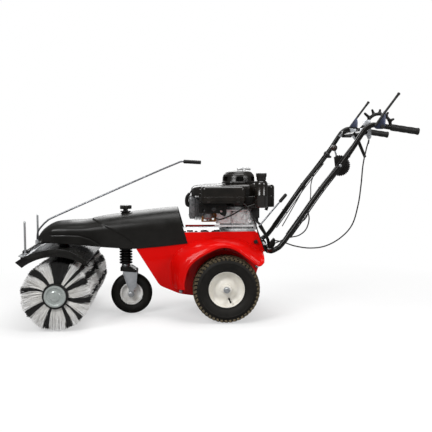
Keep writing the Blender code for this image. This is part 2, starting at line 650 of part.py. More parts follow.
# ---------------------------------------------------------------- caster
def build_caster(chassis, knob_body, lift_body, swivel_body, wheel_body):
    lobes = []
    for k in range(KNOB_LOBES * 6):
        angle = 2 * math.pi * k / (KNOB_LOBES * 6)
        radius = KNOB_RADIUS * (0.88 + 0.12 * math.cos(KNOB_LOBES * angle))
        lobes.append((CASTER_X + radius * math.cos(angle), radius * math.sin(angle)))
    knob = prism(lobes, KNOB_TOP - 0.020, KNOB_TOP, "XY")
    foot = HOUSING_TOP + CLEARANCE
    neck = turned([(0, foot), (0.011, foot), (0.011, KNOB_TOP - 0.01), (0, KNOB_TOP - 0.01)],
                  (CASTER_X, 0, 0), segments=12)
    spindle = cylinder(SPINDLE_RADIUS, 0.300, 0.545, (CASTER_X, 0, 0), segments=12)
    add_piece("height_knob", knob, "black_plastic", knob_body, joins=[neck, spindle])

    bore = clear_bore(SPINDLE_RADIUS, 12)
    stem = [(0, CROWN_TOP + CLEARANCE), (STEM_RADIUS + 0.008, CROWN_TOP + CLEARANCE),
            (STEM_RADIUS + 0.008, BELLOWS_BOTTOM - CLEARANCE),
            (STEM_RADIUS, BELLOWS_BOTTOM - CLEARANCE), (STEM_RADIUS, 0.470), (bore, 0.470),
            (bore, 0.268), (0, 0.268)]
    add_piece("caster_stem", turned(stem, (CASTER_X, 0, 0), segments=12), "zinc", lift_body)

    top = HOUSING_BOTTOM - CLEARANCE
    ribs = []
    pitch = (top - BELLOWS_BOTTOM) / BELLOWS_RIBS
    for k in range(BELLOWS_RIBS):
        base = BELLOWS_BOTTOM + k * pitch
        ribs += [(BELLOWS_RADIUS * 0.74, base), (BELLOWS_RADIUS, base + pitch / 2)]
    ribs.append((BELLOWS_RADIUS * 0.74, top))
    wall = STEM_RADIUS + 0.0015
    boot = [(wall, BELLOWS_BOTTOM), *ribs, (wall, top)]
    add_piece("bellows", turned(boot, (CASTER_X, 0, 0)), "belt_rubber", chassis)

    wheel_x = CASTER_X + CASTER_TRAIL
    wheel_z = CASTER_RADIUS
    half = CASTER_WIDTH / 2 + 0.007
    leg = [(CASTER_X - 0.020, CROWN_TOP), (CASTER_X + 0.034, CROWN_TOP),
           (CASTER_X + 0.062, CROWN_TOP - 0.030), (wheel_x + 0.024, wheel_z + 0.030),
           *arc((wheel_x, wheel_z), 0.018, 20, -200, 8),
           (wheel_x - 0.022, wheel_z + 0.030), (CASTER_X - 0.024, CROWN_TOP - 0.020)]
    fork = prism(leg, -half - 0.004, half + 0.004)
    throat = block(CASTER_X - 0.2, CASTER_X + 0.2, -half, half, -0.1, CROWN_BOTTOM)
    axle = cylinder(CASTER_AXLE_RADIUS, -half - 0.012, half + 0.012, (wheel_x, 0, wheel_z),
                    (0, 1, 0), 12)
    add_piece("caster_fork", fork, "zinc", swivel_body, cuts=[throat], pins=[axle])

    centre = (wheel_x, 0, wheel_z)
    tyre = turned(tyre_profile(CASTER_RADIUS, CASTER_WIDTH, CASTER_RIM_RADIUS, 1, 20), centre,
                  (0, 1, 0), 20)
    add_piece("caster_tyre", tyre, "tyre_rubber", wheel_body)
    hub = CASTER_WIDTH / 2 + 0.004
    bore = clear_bore(CASTER_AXLE_RADIUS, 14)
    lip = CASTER_WIDTH * 0.36
    rim = [(bore, -hub), (bore + 0.009, -hub), (bore + 0.012, -0.012), (0.046, -0.008),
           (0.050, -lip), (CASTER_RIM_RADIUS, -lip), (CASTER_RIM_RADIUS, lip), (0.050, lip),
           (0.046, 0.008), (bore + 0.012, 0.012), (bore + 0.009, hub), (bore, hub)]
    add_piece("caster_rim", turned(rim, centre, (0, 1, 0), 14), "cream_paint", wheel_body)


# ---------------------------------------------------------------- brush head
def build_head(body):
    """Gearbox with its neck, guard, rail with pins, and the swivel rod."""
    half_gap = BRUSH_GAP / 2 - 0.003
    case = [(0, -half_gap), (0.030, -half_gap), (0.046, -0.028), (0.052, -0.018), (0.052, 0.018),
            (0.046, 0.028), (0.030, half_gap), (0, half_gap)]
    neck_radius = NECK_RADIUS
    neck = turned([(0, BRUSH_Z), (0.030, BRUSH_Z), (0.030, 0.225), (neck_radius, 0.245),
                   (neck_radius, HEAD_NECK_TOP), (0, HEAD_NECK_TOP)], (PIVOT_X, 0, 0), segments=12)
    input_bore = cylinder(clear_bore(INPUT_SHAFT_RADIUS, 12), BRUSH_Z + 0.030, 0.5, (PIVOT_X, 0, 0))
    cross_bore = cylinder(clear_bore(BRUSH_SHAFT_RADIUS, 12), -0.1, 0.1,
                          (BRUSH_X, 0, BRUSH_Z), (0, 1, 0), 12)
    add_piece("brush_gearbox", turned(case, (BRUSH_X, 0, BRUSH_Z), (0, 1, 0), 12),
              "black_paint", body, joins=[neck], cuts=[input_bore, cross_bore])

    half = GUARD_WIDTH / 2
    centre = (GUARD_X, GUARD_Z)
    inner = GUARD_RADIUS - FENDER_SHEET
    sheet = arc(centre, GUARD_RADIUS, *GUARD_SPAN, 8) + arc(centre, inner, *GUARD_SPAN[::-1], 8)
    flange = (arc(centre, FLANGE_RADIUS, *FLANGE_SPAN, 8)
              + arc(centre, inner, GUARD_SPAN[1], GUARD_SPAN[0], 8))
    guard = prism(sheet, -half, half)
    ends = [prism(flange, side * half - side * FENDER_SHEET, side * half) for side in (-1, 1)]
    neck_hole = cylinder(NECK_RADIUS + CLEARANCE, 0.3, 0.4, (PIVOT_X, 0, 0))
    add_piece("brush_guard", guard, "black_paint", body, joins=ends, cuts=[neck_hole])

    rear_x = RAIL_FRONT_X + RAIL_DEPTH
    foot = GUARD_Z + math.sqrt(GUARD_RADIUS ** 2 - (rear_x - GUARD_X) ** 2) + CLEARANCE
    low = RAIL_TOP - RAIL_THICKNESS
    angle = [(RAIL_FRONT_X, low), (rear_x - RAIL_THICKNESS, low), (rear_x - RAIL_THICKNESS, foot),
             (rear_x, foot), (rear_x, RAIL_TOP), (RAIL_FRONT_X, RAIL_TOP)]
    rail = prism(angle, -RAIL_WIDTH / 2, RAIL_WIDTH / 2)
    joins = []
    for x, y in ((RAIL_FRONT_X + 0.026, 0.030 - RAIL_WIDTH / 2), (RAIL_FRONT_X + 0.007, 0.026)):
        joins.append(turned([(0, low), (PIN_RADIUS, low), (PIN_RADIUS, PIN_TOP - 0.004),
                             (PIN_RADIUS * 0.5, PIN_TOP), (0, PIN_TOP)], (x, y, 0), segments=12))
    ear_inner = ROD_RADIUS + CLEARANCE
    for side in (-1, 1):
        ear = [(RAIL_FRONT_X, low + 0.001), (RAIL_FRONT_X + 0.024, low + 0.001),
               (RAIL_FRONT_X + 0.019, EAR_TOP), (RAIL_FRONT_X, EAR_TOP)]
        joins.append(prism(ear, side * ear_inner, side * (ear_inner + SHEET)))
    add_piece("attachment_rail", rail, "zinc", body, joins=joins)

    path = smooth_route(in_plane(SWIVEL_ROD, 0.0), 0.08)
    add_piece("swivel_rod", sweep(path, ROD_RADIUS, 8), "zinc", body)
    grip_start, grip_end = Vector((-0.205, 0, 0.7833)), Vector((-0.115, 0, 0.7785))
    along = (grip_end - grip_start).normalized()
    length = (grip_end - grip_start).length
    grip = turned([(0, 0), (SWIVEL_GRIP_RADIUS * 0.8, 0), (SWIVEL_GRIP_RADIUS, 0.003),
                   (SWIVEL_GRIP_RADIUS, length - 0.004), (SWIVEL_GRIP_RADIUS * 0.7, length),
                   (0, length)], grip_start, along, 12)
    socket_path = [p for p in path if p.x > grip_start.x - 0.04]
    socket = sweep(socket_path, clear_bore(ROD_RADIUS, 8), 8)
    add_piece("swivel_grip", grip, "grip_rubber", body, cuts=[socket])


def bristle_comb(side, black):
    """One colour of one brush half: a ring, its fingers, and a strand from each cell.

    Both colours share one backing tube. Each has its ring at one end, and its fingers
    reach between the other colour's fingers, a clearance apart.
    """
    near = BRUSH_GAP / 2
    far = BRUSH_WIDTH / 2 - 0.006
    ring = 0.010
    gap = 2 * CLEARANCE
    step = (far - near - 2 * ring - 2 * gap) / BRISTLE_ROWS
    rows = [near, near + ring, near + ring + gap]
    rows += [rows[2] + step * (k + 1) for k in range(BRISTLE_ROWS)]
    rows += [rows[-1] + gap, far]
    last_row = len(rows) - 2
    pitch = 2 * math.pi / BRISTLE_WEDGES
    slit = gap / BACKING_RADIUS
    edges = []
    for k in range(BRISTLE_WEDGES):
        edges += [k * pitch, (k + 1) * pitch - slit]
    columns = len(edges)
    radii = (BACKING_RADIUS - BACKING_WALL, BACKING_RADIUS)

    def holds(row, column):
        wedge = column // 2
        finger = column % 2 == 0 and (wedge % 2 == 0) == black
        if black:
            return row == last_row or (finger and row >= 2)
        return row == 0 or (finger and row <= last_row - 2)

    bm = bmesh.new()
    corners = {}

    def corner(layer, row, column):
        key = (layer, row, column % columns)
        if key not in corners:
            angle = edges[column % columns]
            corners[key] = bm.verts.new((BRUSH_X + radii[layer] * math.cos(angle), side * rows[row],
                                         BRUSH_Z + radii[layer] * math.sin(angle)))
        return corners[key]

    strands = []
    for row in range(last_row + 1):
        for column in range(columns):
            if not holds(row, column):
                continue
            square = [(row, column), (row + 1, column), (row + 1, column + 1), (row, column + 1)]
            top = bm.faces.new([corner(1, *spot) for spot in square])
            bm.faces.new([corner(0, *spot) for spot in reversed(square)])
            neighbours = [(row, column - 1), (row + 1, column), (row, column + 1),
                          (row - 1, column)]
            for index, (r, c) in enumerate(neighbours):
                inside = 0 <= r <= last_row and holds(r, c % columns)
                if inside:
                    continue
                a, b = square[index], square[(index + 1) % 4]
                bm.faces.new([corner(1, *b), corner(1, *a), corner(0, *a), corner(0, *b)])
            if column % 2 == 0 and 2 <= row <= last_row - 2:
                strands.append(top)

    bmesh.ops.recalc_face_normals(bm, faces=bm.faces)
    inner_verts = {vert for (layer, _, _), vert in corners.items() if layer == 0}
    seams = [edge for edge in bm.edges if not inner_verts.isdisjoint(edge.verts)
             and all(abs(face.normal.y) < 0.5 for face in edge.link_faces)
             and edge.calc_face_angle(1.0) < 0.001]
    bmesh.ops.dissolve_edges(bm, edges=seams, use_verts=True)

    lean = math.radians(BRISTLE_LEAN)
    axis_point = Vector((BRUSH_X, 0, BRUSH_Z))
    for face in bmesh.ops.extrude_discrete_faces(bm, faces=strands)["faces"]:
        middle = face.calc_center_median()
        arm = middle - axis_point
        outward = Vector((arm.x, 0, arm.z)).normalized()
        along = Matrix.Rotation(lean, 3, "Y") @ outward
        reach = BRUSH_RADIUS * math.cos(pitch / 2 * BRISTLE_TIP)
        tip_middle = Vector((BRUSH_X, middle.y, BRUSH_Z)) + along * reach
        spread = BRISTLE_TIP * BRUSH_RADIUS / BACKING_RADIUS
        tangent = Vector((0, 1, 0)).cross(along)
        flat = Vector((0, 1, 0)).cross(outward)
        for vert in face.verts:
            offset = vert.co - middle
            across = tangent * offset.dot(flat) * spread
            vert.co = tip_middle + across + Vector((0, offset.y * BRISTLE_TIP_LENGTH, 0))
    return bm


def build_brush(body):
    reach = BRUSH_WIDTH / 2
    centre = (BRUSH_X, 0, BRUSH_Z)
    flats = math.cos(math.pi / BRISTLE_WEDGES)
    radius = (BACKING_RADIUS - BACKING_WALL) * flats - CLEARANCE
    start = BRUSH_GAP / 2
    edge = reach - 0.006 + CLEARANCE
    right = [(BRUSH_SHAFT_RADIUS, start), (radius, start), (radius, edge), (END_CAP_RADIUS, edge),
             (END_CAP_RADIUS, reach - 0.001), (END_CAP_RADIUS - 0.003, reach + 0.002),
             (0.038, reach + 0.002), (0.036, reach - 0.001), (0.020, reach - 0.001), (0.0, reach)]
    left = [(r, -y) for r, y in reversed(right)]
    add_piece("brush_shaft", turned(left + right, centre, (0, 1, 0)), "zinc", body)
    for side, suffix in ((-1, "left"), (1, "right")):
        for black, colour in ((True, "black"), (False, "white")):
            add_piece(f"bristles_{colour}_{suffix}", bristle_comb(side, black),
                      f"{colour}_bristle", body)


# ---------------------------------------------------------------- engine
def rounded_slab(points, low, high, taper=0.0):
    """Upright-sided slab over an XY outline, its top edge drawn in by taper."""
    middle = Vector((sum(p[0] for p in points), sum(p[1] for p in points))) / len(points)
    sections = [[(x, y, low) for x, y in points]]
    for share, height in ((0.0, high - taper), (0.5, high - taper * 0.35), (1.0, high)):
        ring = []
        for x, y in points:
            pull = (middle - Vector((x, y))).normalized() * taper * share
            ring.append((x + pull.x, y + pull.y, height))
        sections.append(ring)
    return loft(sections)


def rounded_outline(x0, x1, y0, y1, radius, steps=3):
    """Rectangle in XY with round corners, anticlockwise."""
    corners = [((x1 - radius, y1 - radius), 0), ((x0 + radius, y1 - radius), 90),
               ((x0 + radius, y0 + radius), 180), ((x1 - radius, y0 + radius), 270)]
    outline = []
    for centre, start in corners:
        outline += arc(centre, radius, start, start + 90, steps)
    return outline


def build_engine(body, cap_body, grip_body):
    base = DECK_TOP + CLEARANCE
    crank = (CRANK_X, 0, 0)
    case = [(0.0, base), (0.100, base), (0.100, base + ENGINE_FOOT), (0.078, base + ENGINE_FOOT),
            (0.074, base + 0.026), (CRANKCASE_RADIUS, base + 0.040), (CRANKCASE_RADIUS, 0.535),
            (0.092, CRANKCASE_TOP), (0.0, CRANKCASE_TOP)]
    barrel = block(CRANK_X - 0.150, CRANK_X - 0.055, -0.0517, 0.0517, 0.4925, 0.6003, 0.008, 1)
    tower = cylinder(0.030, 0.5, 0.640, crank, segments=12)
    bore_top = DECK_TOP + ENGINE_FOOT + 0.021
    shaft_bore = cylinder(clear_bore(CRANK_RADIUS, 12), 0.40, bore_top, crank)
    add_piece("crankcase", turned(case, crank, segments=16), "cast_aluminium", body,
              joins=[barrel, tower], cuts=[shaft_bore])

    head_front = -0.150
    head_rear = CRANK_X - 0.150 - CLEARANCE
    core = block(head_front, head_rear, -0.040, 0.040, 0.500, 0.598, 0.004, 1)
    pitch = (head_rear - head_front - 0.006) / (HEAD_FINS - 1)
    fins = []
    for k in range(HEAD_FINS):
        x = head_front + 0.001 + k * pitch
        fins.append(block(x, x + 0.003, -0.058, 0.058, 0.486, 0.606))
    add_piece("cylinder_head", core, "cast_aluminium", body, joins=fins)

    cover = prism([(-0.052, 0.492), (0.052, 0.492), (0.056, 0.502), (0.056, 0.596), (0.046, 0.610),
                   (-0.046, 0.610), (-0.056, 0.596), (-0.056, 0.502)], head_front - 0.026,
                  head_front - CLEARANCE, "YZ")
    boot = sweep([(-0.160, -0.030, 0.560), (-0.186, -0.032, 0.566), (-0.188, -0.040, 0.600),
                  (-0.176, -0.046, 0.622)], 0.010, 10)
    add_piece("rocker_cover", cover, "cast_aluminium", body, joins=[boot])

    outline = rounded_outline(-0.165, 0.176, -0.118, 0.126, 0.070)
    shroud = rounded_slab(outline, 0.612, SHROUD_TOP, 0.026)
    hollow = rounded_slab(rounded_outline(-0.162, 0.173, -0.115, 0.123, 0.067), 0.60,
                          SHROUD_TOP - 0.004, 0.026)
    skirt_hole = cylinder(0.050, 0.6, 0.7, crank, segments=12)
    add_piece("blower_shroud", shroud, "black_plastic", body, cuts=[hollow, skirt_hole])

    top = SHROUD_TOP + CLEARANCE
    dome = [(0.0, 0.642), (0.044, 0.642), (0.044, top), (RECOIL_RADIUS, top),
            (RECOIL_RADIUS, top + 0.010), (RECOIL_RADIUS - 0.004, top + 0.030),
            (RECOIL_RADIUS - 0.012, top + 0.048), (RECOIL_RADIUS - 0.023, RECOIL_TOP - 0.003),
            (0.034, RECOIL_TOP), (0.0, RECOIL_TOP - 0.006)]
    slots = []
    for k in range(6):
        angle = math.radians(60 * k + 30)
        slot = block(0.060, 0.120, -0.011, 0.011, top + 0.014, top + 0.034)
        bmesh.ops.rotate(slot, verts=slot.verts, matrix=Matrix.Rotation(angle, 3, "Z"))
        bmesh.ops.translate(slot, verts=slot.verts, vec=Vector(crank))
        slots.append(slot)
    add_piece("recoil_housing", turned(dome, crank, segments=16), "black_plastic", body, cuts=slots)

    filter_box = rounded_slab(rounded_outline(-0.122, 0.099, -0.196, -0.119, 0.022), 0.580, 0.664,
                              0.010)
    lug = block(-0.100, 0.050, -0.125, -0.1185, 0.600, 0.628, 0.002, 1)
    add_piece("air_filter_cover", filter_box, "black_plastic", body, joins=[lug])

    bowl = turned([(0, 0.497), (0.016, 0.497), (0.021, 0.505), (0.021, 0.531), (0.027, 0.534),
                   (0.027, 0.5797), (0, 0.5797)], (-0.088, -0.142, 0), segments=12)
    throat = cylinder(0.016, -0.142, -0.0525, (-0.050, 0, 0.552), (0, 1, 0), 12)
    body_block = block(-0.098, -0.032, -0.158, -0.124, 0.536, 0.572, 0.004, 1)
    plate = block(-0.080, 0.004, -0.1285, -0.1255, 0.484, 0.560)
    add_piece("carburettor", bowl, "cast_aluminium", body, joins=[throat, body_block, plate])

    can = block(-0.110, 0.060, 0.1265, 0.182, 0.560, 0.650, 0.012, 1)
    louvres = [block(-0.085 + 0.03 * k, -0.073 + 0.03 * k, 0.176, 0.20, 0.580, 0.630)
               for k in range(5)]
    pipe_out = cylinder(0.014, 0.0525, 0.135, (-0.050, 0, 0.575), (0, 1, 0), 12)
    add_piece("muffler", can, "dark_steel", body, joins=[pipe_out], cuts=louvres)

    tank_x0, tank_x1, tank_y0, tank_y1 = 0.1785, 0.252, -0.112, 0.110
    tank = rounded_slab(rounded_outline(tank_x0, tank_x1, tank_y0, tank_y1, 0.026), TANK_BOTTOM,
                        0.668, 0.016)
    pot = turned([(0, TANK_BOTTOM), (POT_RADIUS - 0.006, TANK_BOTTOM),
                  (POT_RADIUS, TANK_BOTTOM + 0.006), (POT_RADIUS, TANK_TOP - 0.016),
                  (POT_RADIUS - 0.004, TANK_TOP - 0.006), (TANK_NECK_RADIUS, TANK_TOP),
                  (TANK_NECK_RADIUS, TANK_TOP + 0.008),
                  (0, TANK_TOP + 0.008)], CAP_CENTRE, segments=12)
    bridge = block(tank_x0 + 0.006, tank_x0 + 0.026, CAP_CENTRE[1], tank_y0 + 0.030,
                   TANK_BOTTOM + 0.034, TANK_BOTTOM + 0.084, 0.002, 1)
    outlet = cylinder(0.008, 0.0, 0.040, (0.214, -0.06, TANK_BOTTOM - 0.020), (0.3, 0, 1), 12)
    arm = block(0.1765, 0.184, -0.05, 0.05, 0.612, 0.640, 0.001, 1)
    add_piece("fuel_tank", tank, "black_plastic", body, joins=[pot, bridge, outlet, arm])

    knurl = []
    for k in range(24):
        angle = 2 * math.pi * k / 24
        radius = CAP_RADIUS - (0.0015 if k % 2 else 0.0)
        knurl.append((CAP_CENTRE[0] + radius * math.cos(angle),
                      CAP_CENTRE[1] + radius * math.sin(angle)))
    cap = prism(knurl, TANK_TOP + CLEARANCE, TANK_TOP + 0.036, "XY")
    neck_top = TANK_TOP + 0.008 + CLEARANCE
    neck = cylinder(clear_bore(TANK_NECK_RADIUS, 12), TANK_TOP - 0.01, neck_top, CAP_CENTRE)
    add_piece("fuel_cap", cap, "black_plastic", cap_body, cuts=[neck])

    low, high = RECOIL_TOP + 0.010, RECOIL_TOP + 0.013
    bar = sweep([(0.086, -0.030, low), (0.104, -0.006, high), (0.108, 0.006, high),
                 (0.126, 0.030, low)], 0.008, 10)
    foot = RECOIL_TOP + CLEARANCE
    stalk_top = RECOIL_TOP + 0.011
    stalk = turned([(0, foot), (0.010, foot), (0.007, stalk_top), (0, stalk_top)],
                   (STARTER_X, 0, 0))
    add_piece("starter_grip", bar, "black_plastic", grip_body, joins=[stalk])

    add_cable("throttle_cable", in_plane(THROTTLE_CABLE, -0.158), body)


# ---------------------------------------------------------------- handlebar
def tube_route(side):
    """Centre line of one handle tube, from the base bar's end up to the grip's end."""
    y = side * HALF_HANDLE
    corner = (HANDLE_BASE_X, side * (HALF_HANDLE - BEND_RADIUS), HANDLE_BASE_Z)
    bend = [(HANDLE_BASE_X + (HANDLE_PATH[0][0] - HANDLE_BASE_X) * (1 - math.cos(a)),
             side * (HALF_HANDLE - BEND_RADIUS + BEND_RADIUS * math.sin(a)),
             HANDLE_BASE_Z + (HANDLE_PATH[0][1] - HANDLE_BASE_Z) * (1 - math.cos(a)))
            for a in (math.pi / 2 * k / 4 for k in range(1, 4))]
    start = (HANDLE_BASE_X, side * (HALF_HANDLE - BEND_RADIUS - 0.004), HANDLE_BASE_Z)
    return [start, corner, *bend, *in_plane(HANDLE_PATH, y)]


def build_handle(body):
    for side, suffix in ((-1, "left"), (1, "right")):
        route = smooth_route(tube_route(side), 0.12)
        add_piece(f"handle_tube_{suffix}", sweep(route, TUBE_RADIUS, 8), "black_paint", body)
        start = Vector((HANDLE_PATH[-2][0], side * HALF_HANDLE, HANDLE_PATH[-2][1]))
        end = Vector((HANDLE_PATH[-1][0], side * HALF_HANDLE, HANDLE_PATH[-1][1]))
        along = (end - start).normalized()
        profile = [(0, 0), (GRIP_RADIUS * 0.86, 0)]
        ribs = 3
        for k in range(ribs):
            low = 0.004 + k * (GRIP_LENGTH - 0.016) / ribs
            high = low + (GRIP_LENGTH - 0.016) / ribs * 0.7
            profile += [(GRIP_RADIUS, low), (GRIP_RADIUS, high), (GRIP_RADIUS * 0.94, high + 0.002)]
        profile += [(GRIP_RADIUS * 1.06, GRIP_LENGTH - 0.008),
                    (GRIP_RADIUS * 1.06, GRIP_LENGTH - 0.001),
                    (GRIP_RADIUS * 0.9, GRIP_LENGTH + 0.002), (0, GRIP_LENGTH + 0.002)]
        grip = turned(profile, start - along * 0.001, along, 10)
        bore = sweep([start - along * 0.02, end + along * CLEARANCE],
                     clear_bore(TUBE_RADIUS, 10), 10)
        add_piece(f"grip_{suffix}", grip, "grip_rubber", body, cuts=[bore])

    inner_end = HALF_HANDLE - BEND_RADIUS - 0.004 - CLEARANCE
    base = (HANDLE_BASE_X, 0, HANDLE_BASE_Z)
    bar = cylinder(TUBE_RADIUS, -inner_end, inner_end, base, (0, 1, 0), 12)
    stop_outline = [(HANDLE_BASE_X - 0.008, HANDLE_BASE_Z), (HANDLE_BASE_X + 0.010, HANDLE_BASE_Z),
                    (0.2435, 0.376), (0.2435, 0.404), (0.236, 0.410), (0.218, 0.388)]
    stop = prism(stop_outline, CABLE_Y - 0.007, CABLE_Y + 0.015)
    add_piece("handle_base_bar", bar, "black_paint", body, joins=[stop])

    cross_x, cross_z = 0.676, 0.926
    half = HALF_HANDLE - TUBE_RADIUS - CLEARANCE
    cross = cylinder(CROSSBAR_RADIUS, -half, half, (cross_x, 0, cross_z), (0, 1, 0), 12)
    gate_centre = (0.806, 0.966)
    prongs = [(139, 0.102), (113.5, 0.093), (86.5, 0.086), (55.5, 0.086), (25, 0.088)]
    outline = arc(gate_centre, 0.058, 8, 158, 8)
    crest = [(0.069, 163), (0.069, 152)]
    for number, (angle, reach) in enumerate(prongs):
        crest += [(0.072, angle + 6), (reach, angle + 3.2), (reach, angle - 3.2),
                  (0.072, angle - 6)]
        if number + 1 < len(prongs):
            following = prongs[number + 1][0]
            crest.append((0.066, (angle + following) / 2))
    crest += [(0.069, 8)]
    for reach, angle in crest:
        a = math.radians(angle)
        outline.append((gate_centre[0] + reach * math.cos(a), gate_centre[1] + reach * math.sin(a)))
    gate = prism(outline, -GATE_THICKNESS / 2, GATE_THICKNESS / 2)
    leg = prism([(cross_x - 0.004, cross_z - 0.006), (cross_x + 0.014, cross_z - 0.008),
                 (0.757, 0.972), (0.751, 0.992), (0.738, 0.990)], -GATE_THICKNESS / 2,
                GATE_THICKNESS / 2)
    blocks = [block(0.660, 0.712, y - 0.014, y + 0.014, 0.912, 0.948, 0.004, 1)
              for y in (CABLE_Y, -CABLE_Y)]
    stop = prism([(0.690, 0.915), (0.712, 0.930), (0.715, 0.905), (0.707, 0.893), (0.699, 0.893)],
                 CABLE_Y - 0.006, CABLE_Y + 0.006)
    guide = prism([(0.672, 0.918), (0.680, 0.922), (0.7185, 0.8035), (0.7105, 0.8005)],
                  -0.056, -0.044)
    lugs = []
    for side in (-1, 1):
        lug = [(cross_x - 0.026, cross_z - 0.006), (cross_x + 0.004, cross_z - 0.013),
               (cross_x + 0.013, cross_z), (cross_x + 0.002, cross_z + 0.026)]
        lugs.append(prism(lug, side * (half - SHEET), side * half))
    add_piece("handle_crossbar", cross, "zinc", body,
              joins=[gate, leg, *blocks, stop, guide, *lugs])

    centre = QUADRANT_CENTRE
    teeth = []
    for k in range(QUADRANT_TEETH * 4):
        angle = math.radians(125 - 235 * k / (QUADRANT_TEETH * 4 - 1))
        radius = QUADRANT_RADIUS - (0.004 if k % 4 in (1, 2) else 0.0)
        teeth.append((centre[0] + radius * math.cos(angle), centre[1] + radius * math.sin(angle)))
    inner_face = -HALF_HANDLE + TUBE_RADIUS + CLEARANCE
    disc = prism(teeth, inner_face, inner_face + 0.006)
    clamp = block(0.534, 0.578, inner_face + 0.005, inner_face + 0.014, 0.748, 0.780, 0.002, 1)
    pivot_hole = cylinder(clear_bore(QUADRANT_PIN_RADIUS, 12), -0.3, -0.1,
                          (centre[0], 0, centre[1]), (0, 1, 0))
    add_piece("speed_quadrant", disc, "black_paint", body, joins=[clamp], cuts=[pivot_hole])

    add_cable("long_cable", in_plane(LONG_CABLE, CABLE_Y), body)
    add_cable("loop_cable", in_plane(LOOP_CABLE, CABLE_Y + 0.008), body)


def build_levers(clutch_bodies, speed_body, release_body):
    for side, body in clutch_bodies.items():
        suffix = "left" if side < 0 else "right"
        face = HALF_HANDLE + TUBE_RADIUS + CLEARANCE
        plate = prism([(0.706, 0.950), (0.718, 0.940), (0.752, 0.940), (0.762, 0.950),
                       (0.764, 1.000), (0.757, 1.030)], -face - LEVER_PLATE, -face)
        arm_y = -face - LEVER_PLATE - LEVER_ARM_RADIUS + 0.001
        arm = sweep([(0.7115, arm_y, 0.955), (0.759, arm_y, 1.022), (0.820, arm_y, 1.104)],
                    LEVER_ARM_RADIUS, 10)
        bolt = cylinder(0.007, -face - LEVER_PLATE - 0.006, -face - 0.001,
                        (LEVER_PIVOT[0], 0, LEVER_PIVOT[1]), (0, 1, 0))
        knob = turned([(0, -0.004), (0.007, -0.002), (0.0075, 0.006), (0.004, 0.010), (0, 0.010)],
                      (0.820, arm_y, 1.104), (0.061, 0, 0.082), 12)
        parts = [mirrored(bm, side) for bm in (plate, arm, bolt, knob)]
        add_piece(f"clutch_lever_{suffix}", parts[0], "blue_steel", body, joins=parts[1:])

    centre = QUADRANT_CENTRE
    inner_face = -HALF_HANDLE + TUBE_RADIUS + CLEARANCE
    stem_y = inner_face + 0.014 + CLEARANCE
    pin = cylinder(QUADRANT_PIN_RADIUS, inner_face + 0.0005, stem_y + 0.004,
                   (centre[0], 0, centre[1]), (0, 1, 0))
    stem = prism([(0.550, 0.757), (0.566, 0.760), (0.5315, 0.846), (0.5235, 0.844)],
                 stem_y, stem_y + 0.005)
    ball = turned([(0, -0.014), (0.009, -0.013), (0.015, -0.006), (0.0172, 0.001), (0.014, 0.009),
                   (0.007, 0.0135), (0, 0.0145)], (0.525, stem_y + 0.0025, 0.850), (-0.35, 0, 1), 12)
    add_piece("speed_lever", pin, "zinc", speed_body, joins=[stem, ball])

    y0, y1 = RELEASE_Y - 0.0025, RELEASE_Y + 0.0025
    hub = pipe(0.019, clear_bore(TUBE_RADIUS, 12), y0, y1, (HANDLE_BASE_X, 0, HANDLE_BASE_Z),
               (0, 1, 0), 12)
    strip = prism([(0.2105, 0.364), (0.2245, 0.362), (0.2215, 0.395), (0.204, 0.432), (0.182, 0.472),
                   (0.170, 0.474), (0.164, 0.462), (0.190, 0.425), (0.206, 0.392)], y0, y1)
    rod = sweep(in_plane([(0.172, 0.467), (0.2665, 0.579), (0.2775, 0.592)], RELEASE_Y), 0.004, 8)
    grip = turned([(0, 0), (0.007, 0.001), (0.0085, 0.006), (0.0085, 0.046), (0.006, 0.052),
                   (0, 0.052)], (0.2705, RELEASE_Y, 0.5837), (0.0945, 0, 0.112), 10)
    add_piece("release_lever", hub, "zinc", release_body, joins=[strip, rod, grip])


def build_handle_bracket(body):
    """Black saddles on the rear panel that carry the base bar."""
    base = (HANDLE_BASE_X, 0, HANDLE_BASE_Z)
    inner = [beside(PANEL_TOP, PANEL_KNEE, share, CLEARANCE) for share in (0.30, 0.985)]
    outer = [beside(PANEL_TOP, PANEL_KNEE, share, SHEET) for share in (0.985, 0.30)]
    plate = prism(inner + outer, -0.132, 0.132)
    saddle = [beside(PANEL_TOP, PANEL_KNEE, 0.70, 0.0015),
              beside(PANEL_TOP, PANEL_KNEE, 0.985, 0.0015),
              (HANDLE_BASE_X, HANDLE_BASE_Z - 0.020),
              *arc((HANDLE_BASE_X, HANDLE_BASE_Z), 0.020, -80, 100, 8)]
    saddles = [prism(saddle, y - 0.014, y + 0.014) for y in (-0.105, 0.105)]
    bore = cylinder(clear_bore(TUBE_RADIUS, 12), -0.2, 0.2, base, (0, 1, 0), 12)
    add_piece("handle_bracket", plate, "black_paint", body, joins=saddles, cuts=[bore])


